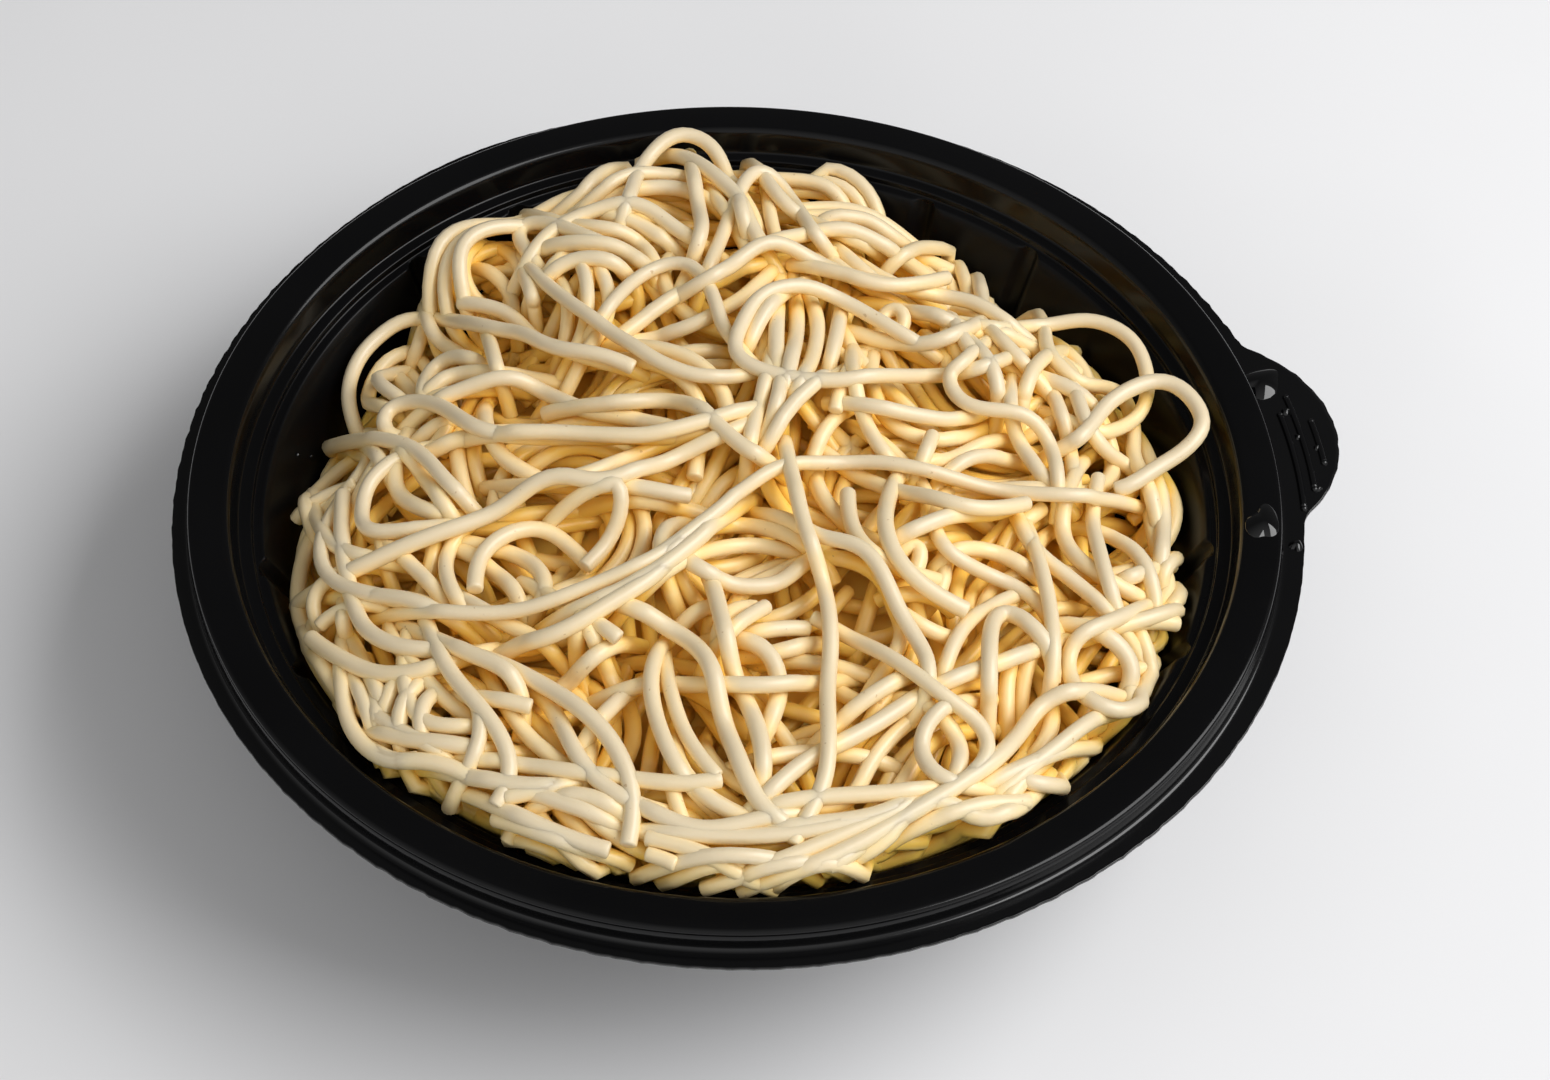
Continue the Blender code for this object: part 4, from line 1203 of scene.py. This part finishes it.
def with_round_ends(path, radius, rng):
    """Adds the rounded rim of each cut end, and lets the thickness vary along the noodle."""
    swell = 1.0 + 0.025 * evened(rng.normal(0.0, 1.0, len(path)), 3)
    radii = radius * swell
    first = path[0] + unit(path[0] - path[1]) * END_LENGTH
    last = path[-1] + unit(path[-1] - path[-2]) * END_LENGTH
    points = np.vstack([
        first, path[0] + (first - path[0]) * 0.55, path,
        path[-1] + (last - path[-1]) * 0.55, last])
    ends = np.array([0.72, 0.94])
    radii = np.concatenate([ends * radii[0], radii, ends[::-1] * radii[-1]])
    return points, radii


def unit(along):
    return along / np.linalg.norm(along)


def core_mesh(form, noodles, bowl):
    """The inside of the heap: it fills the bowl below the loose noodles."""
    rings = 22
    profile = [(0.0, 0.0, 0.0)]
    profile += [((index + 0.001) * MM, 0.0, 0.0) for index in range(1, rings + 4)]
    bm, ring = turned(profile + [(0.0, 0.0, 1.0)], steps=120)
    floor = bowl.sheet + 0.3 * MM
    # Distance in from the wall's foot, and rise above the floor, of the rings of the underside
    under = {1: (6.5 * MM, 0.0), 2: (2.4 * MM, 1.8 * MM), 3: (0.6 * MM, 6.0 * MM)}
    for vert in bm.verts:
        index = vert[ring]
        azimuth = azimuth_of(vert.co)
        across = polar(1.0, azimuth, 0.0)
        edge = float(form.edge(across.x, across.y)) - noodles.depth - CORE_DROP
        reach = float(inner_wall(edge, bowl)) - 0.6 * MM
        if index == 0:
            vert.co = (0.0, 0.0, floor)
        elif index in under:
            inwards, rise = under[index]
            vert.co = polar(bowl.wall_foot - inwards, azimuth, floor + rise)
        else:
            share = (rings + 4 - index) / rings
            spot = polar(reach * share, azimuth, 0.0)
            drop = noodles.depth + CORE_DROP * share ** 7 + float(form.slack(spot.x, spot.y))
            height = float(form.height(spot.x, spot.y)) - drop
            height += 0.5 * MM * math.sin(spot.x / (1.9 * MM)) * math.cos(spot.y / (1.7 * MM))
            vert.co = polar(reach * share, azimuth, min(height, edge) if index == 4 else height)
    bm.normal_update()
    bmesh.ops.recalc_face_normals(bm, faces=bm.faces)
    return bm


# Water


def drop_mesh(bowl):
    """Flattened domes of water, each uneven in its outline, lying on the plastic."""
    bm = bmesh.new()
    rng = random.Random(5)
    for radius, azimuth, length, width, height, turn in DROPS:
        made = bmesh.ops.create_uvsphere(bm, u_segments=24, v_segments=12, radius=1.0)
        centre = polar(radius * MM, azimuth, plastic_height(radius, bowl))
        phase = rng.uniform(0.0, math.tau)
        lean = math.radians(azimuth + turn)
        for vert in made["verts"]:
            angle = math.atan2(vert.co.y, vert.co.x)
            bulge = 1.0 + 0.2 * math.sin(2 * angle + phase) + 0.14 * math.sin(3 * angle - phase)
            x = vert.co.x * bulge * 0.5 * length * MM
            y = vert.co.y * bulge * 0.5 * width * MM
            dome = vert.co.z ** 2 if vert.co.z > 0 else 0.15 * vert.co.z
            z = dome * height * MM
            vert.co = centre + Vector((
                x * math.cos(lean) - y * math.sin(lean),
                x * math.sin(lean) + y * math.cos(lean), z))
    return bm


def plastic_height(radius, bowl):
    """Height of the plastic under a drop, by its radius in mm."""
    for start, depth in ((92.6, FLANGE_DEPTH), (86.0, 0.0), (81.9, LID_LEDGE)):
        if radius > start:
            return RIM - depth
    foot = bowl.sheet + FOOT_FILLET
    share = (radius * MM - bowl.wall_foot) / (bowl.wall_top - bowl.wall_foot)
    return foot + share * (RIM - WALL_LEDGE - foot)


# Operators


class TAKEAWAY_OT_bowl(bpy.types.Operator):
    """Make the fine bowl with its grip ribs"""

    bl_idname = "takeaway.bowl"
    bl_label = "Bowl"

    def execute(self, context):
        sizes, _, finish = settings()
        look = plastic_look(finish.plastic)
        shell = new_piece(
            "bowl_shell", mesh_of("bowl_shell", bowl_sheet(sizes)), look)
        thickness = shell.modifiers.new("sheet", "SOLIDIFY")
        thickness.thickness = sizes.sheet
        thickness.offset = -1.0
        thickness.use_even_offset = True
        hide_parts("bowl")
        new_piece("grip_ribs", mesh_of("grip_ribs", grip_ribs()), look)
        return {"FINISHED"}


class TAKEAWAY_OT_noodles(bpy.types.Operator):
    """Lay the noodles in the bowl, one at a time"""

    bl_idname = "takeaway.noodles"
    bl_label = "Noodles"

    def execute(self, context):
        bowl, noodles, finish = settings()
        look = noodle_look(finish)
        form = HeapForm(bowl, noodles)
        pile = Pile(form, noodles.depth)
        filling = lay_filling(pile, noodles, bowl)
        top = lay_top(pile, noodles, bowl)
        core = mesh_of("packed_core", core_mesh(form, noodles, bowl))
        # Painted shade: the core takes the full shade, the colour of the gaps deep in the heap
        ones = np.ones(len(core.vertices))
        give(core, "shade_occlusion", ones)
        give(core, "tone", 0.5 * ones)
        lower = noodle_mesh("lower_noodles", filling, pile, sides=8, seed=21)
        upper = noodle_mesh("top_noodles", top, pile, sides=12, seed=22)
        pieces = [
            new_piece(mesh.name, mesh, look) for mesh in (core, lower, upper)]
        for piece in pieces:
            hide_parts("noodles")
        return {"FINISHED"}


class TAKEAWAY_OT_water(bpy.types.Operator):
    """Put the drops of water on the rim, the tab and the wall"""

    bl_idname = "takeaway.water"
    bl_label = "Water drops"

    def execute(self, context):
        bowl, _, finish = settings()
        look = water_look(finish.plastic)
        new_piece("water_drops", mesh_of("water_drops", drop_mesh(bowl)), look)
        return {"FINISHED"}


class TAKEAWAY_OT_stage(bpy.types.Operator):
    """Put up the floor, the lights and the camera"""

    bl_idname = "takeaway.stage"
    bl_label = "Stage"

    def execute(self, context):
        _, _, finish = settings()
        bm = bmesh.new()
        bmesh.ops.create_grid(bm, x_segments=2, y_segments=2, size=3.0)
        floor = linked("floor", mesh_of("floor", bm))
        floor.data.materials.append(floor_look(finish.floor))
        self.light()
        self.world(context)
        self.camera(context)
        return {"FINISHED"}

    def light(self):
        data = bpy.data.lights.new("softbox", "AREA")
        data.shape = "RECTANGLE"
        data.size, data.size_y = 0.9, 0.65
        data.energy = 11.0
        lamp = linked("softbox", data)
        lamp.location = (0.70, -0.08, 0.80)
        lamp.rotation_euler = (-lamp.location).to_track_quat("-Z", "Y").to_euler()

    def world(self, context):
        """A sky that is brighter on the camera's side."""
        world = bpy.data.worlds.new("studio")
        world.use_nodes = True
        world.node_tree.nodes["Background"].inputs["Color"].default_value = (1, 1, 1, 1)
        nodes, links = world.node_tree.nodes, world.node_tree.links
        place = nodes.new("ShaderNodeTexCoord")
        apart = nodes.new("ShaderNodeSeparateXYZ")
        grade = nodes.new("ShaderNodeMapRange")
        grades = {"From Min": -0.8, "From Max": 0.5, "To Min": 0.80, "To Max": 0.10}
        for socket, value in grades.items():
            grade.inputs[socket].default_value = value
        links.new(place.outputs["Generated"], apart.inputs["Vector"])
        links.new(apart.outputs["Y"], grade.inputs["Value"])
        links.new(grade.outputs["Result"], nodes["Background"].inputs["Strength"])
        context.scene.world = world
        context.scene.view_settings.view_transform = "Standard"

    def camera(self, context):
        data = bpy.data.cameras.new("camera")
        data.sensor_width = 36.0
        data.lens = data.sensor_width * CAMERA_REACH
        data.clip_start = 0.01
        camera = linked("camera", data)
        camera.location = CAMERA_PLACE
        camera.rotation_euler = [math.radians(angle) for angle in CAMERA_TURNS]
        context.scene.camera = camera


class TAKEAWAY_PT_panel(bpy.types.Panel):
    """The bowl's pieces, in the order in which they are made"""

    bl_idname = "TAKEAWAY_PT_panel"
    bl_label = "Noodle Takeaway Bowl"
    bl_space_type = "VIEW_3D"
    bl_region_type = "UI"
    bl_category = "Takeaway"

    def draw(self, context):
        for operator in OPERATORS:
            self.layout.operator(operator.bl_idname)
        for group in ("bowl_sizes", "noodle_sizes", "takeaway_finish"):
            values = getattr(context.scene, group)
            for name in values.__annotations__:
                self.layout.prop(values, name)


GROUPS = {"bowl_sizes": BowlSizes, "noodle_sizes": NoodleSizes, "takeaway_finish": Finish}
OPERATORS = (
    TAKEAWAY_OT_bowl, TAKEAWAY_OT_noodles, TAKEAWAY_OT_water, TAKEAWAY_OT_stage)


def register():
    for kind in (*GROUPS.values(), *OPERATORS, TAKEAWAY_PT_panel):
        bpy.utils.register_class(kind)
    for name, group in GROUPS.items():
        setattr(bpy.types.Scene, name, PointerProperty(type=group))


def unregister():
    for name in GROUPS:
        delattr(bpy.types.Scene, name)
    for kind in (TAKEAWAY_PT_panel, *reversed(OPERATORS), *GROUPS.values()):
        bpy.utils.unregister_class(kind)


def main():
    register()
    bpy.ops.takeaway.bowl()
    bpy.ops.takeaway.noodles()
    bpy.ops.takeaway.water()
    bpy.ops.takeaway.stage()


if __name__ == "__main__":
    main()
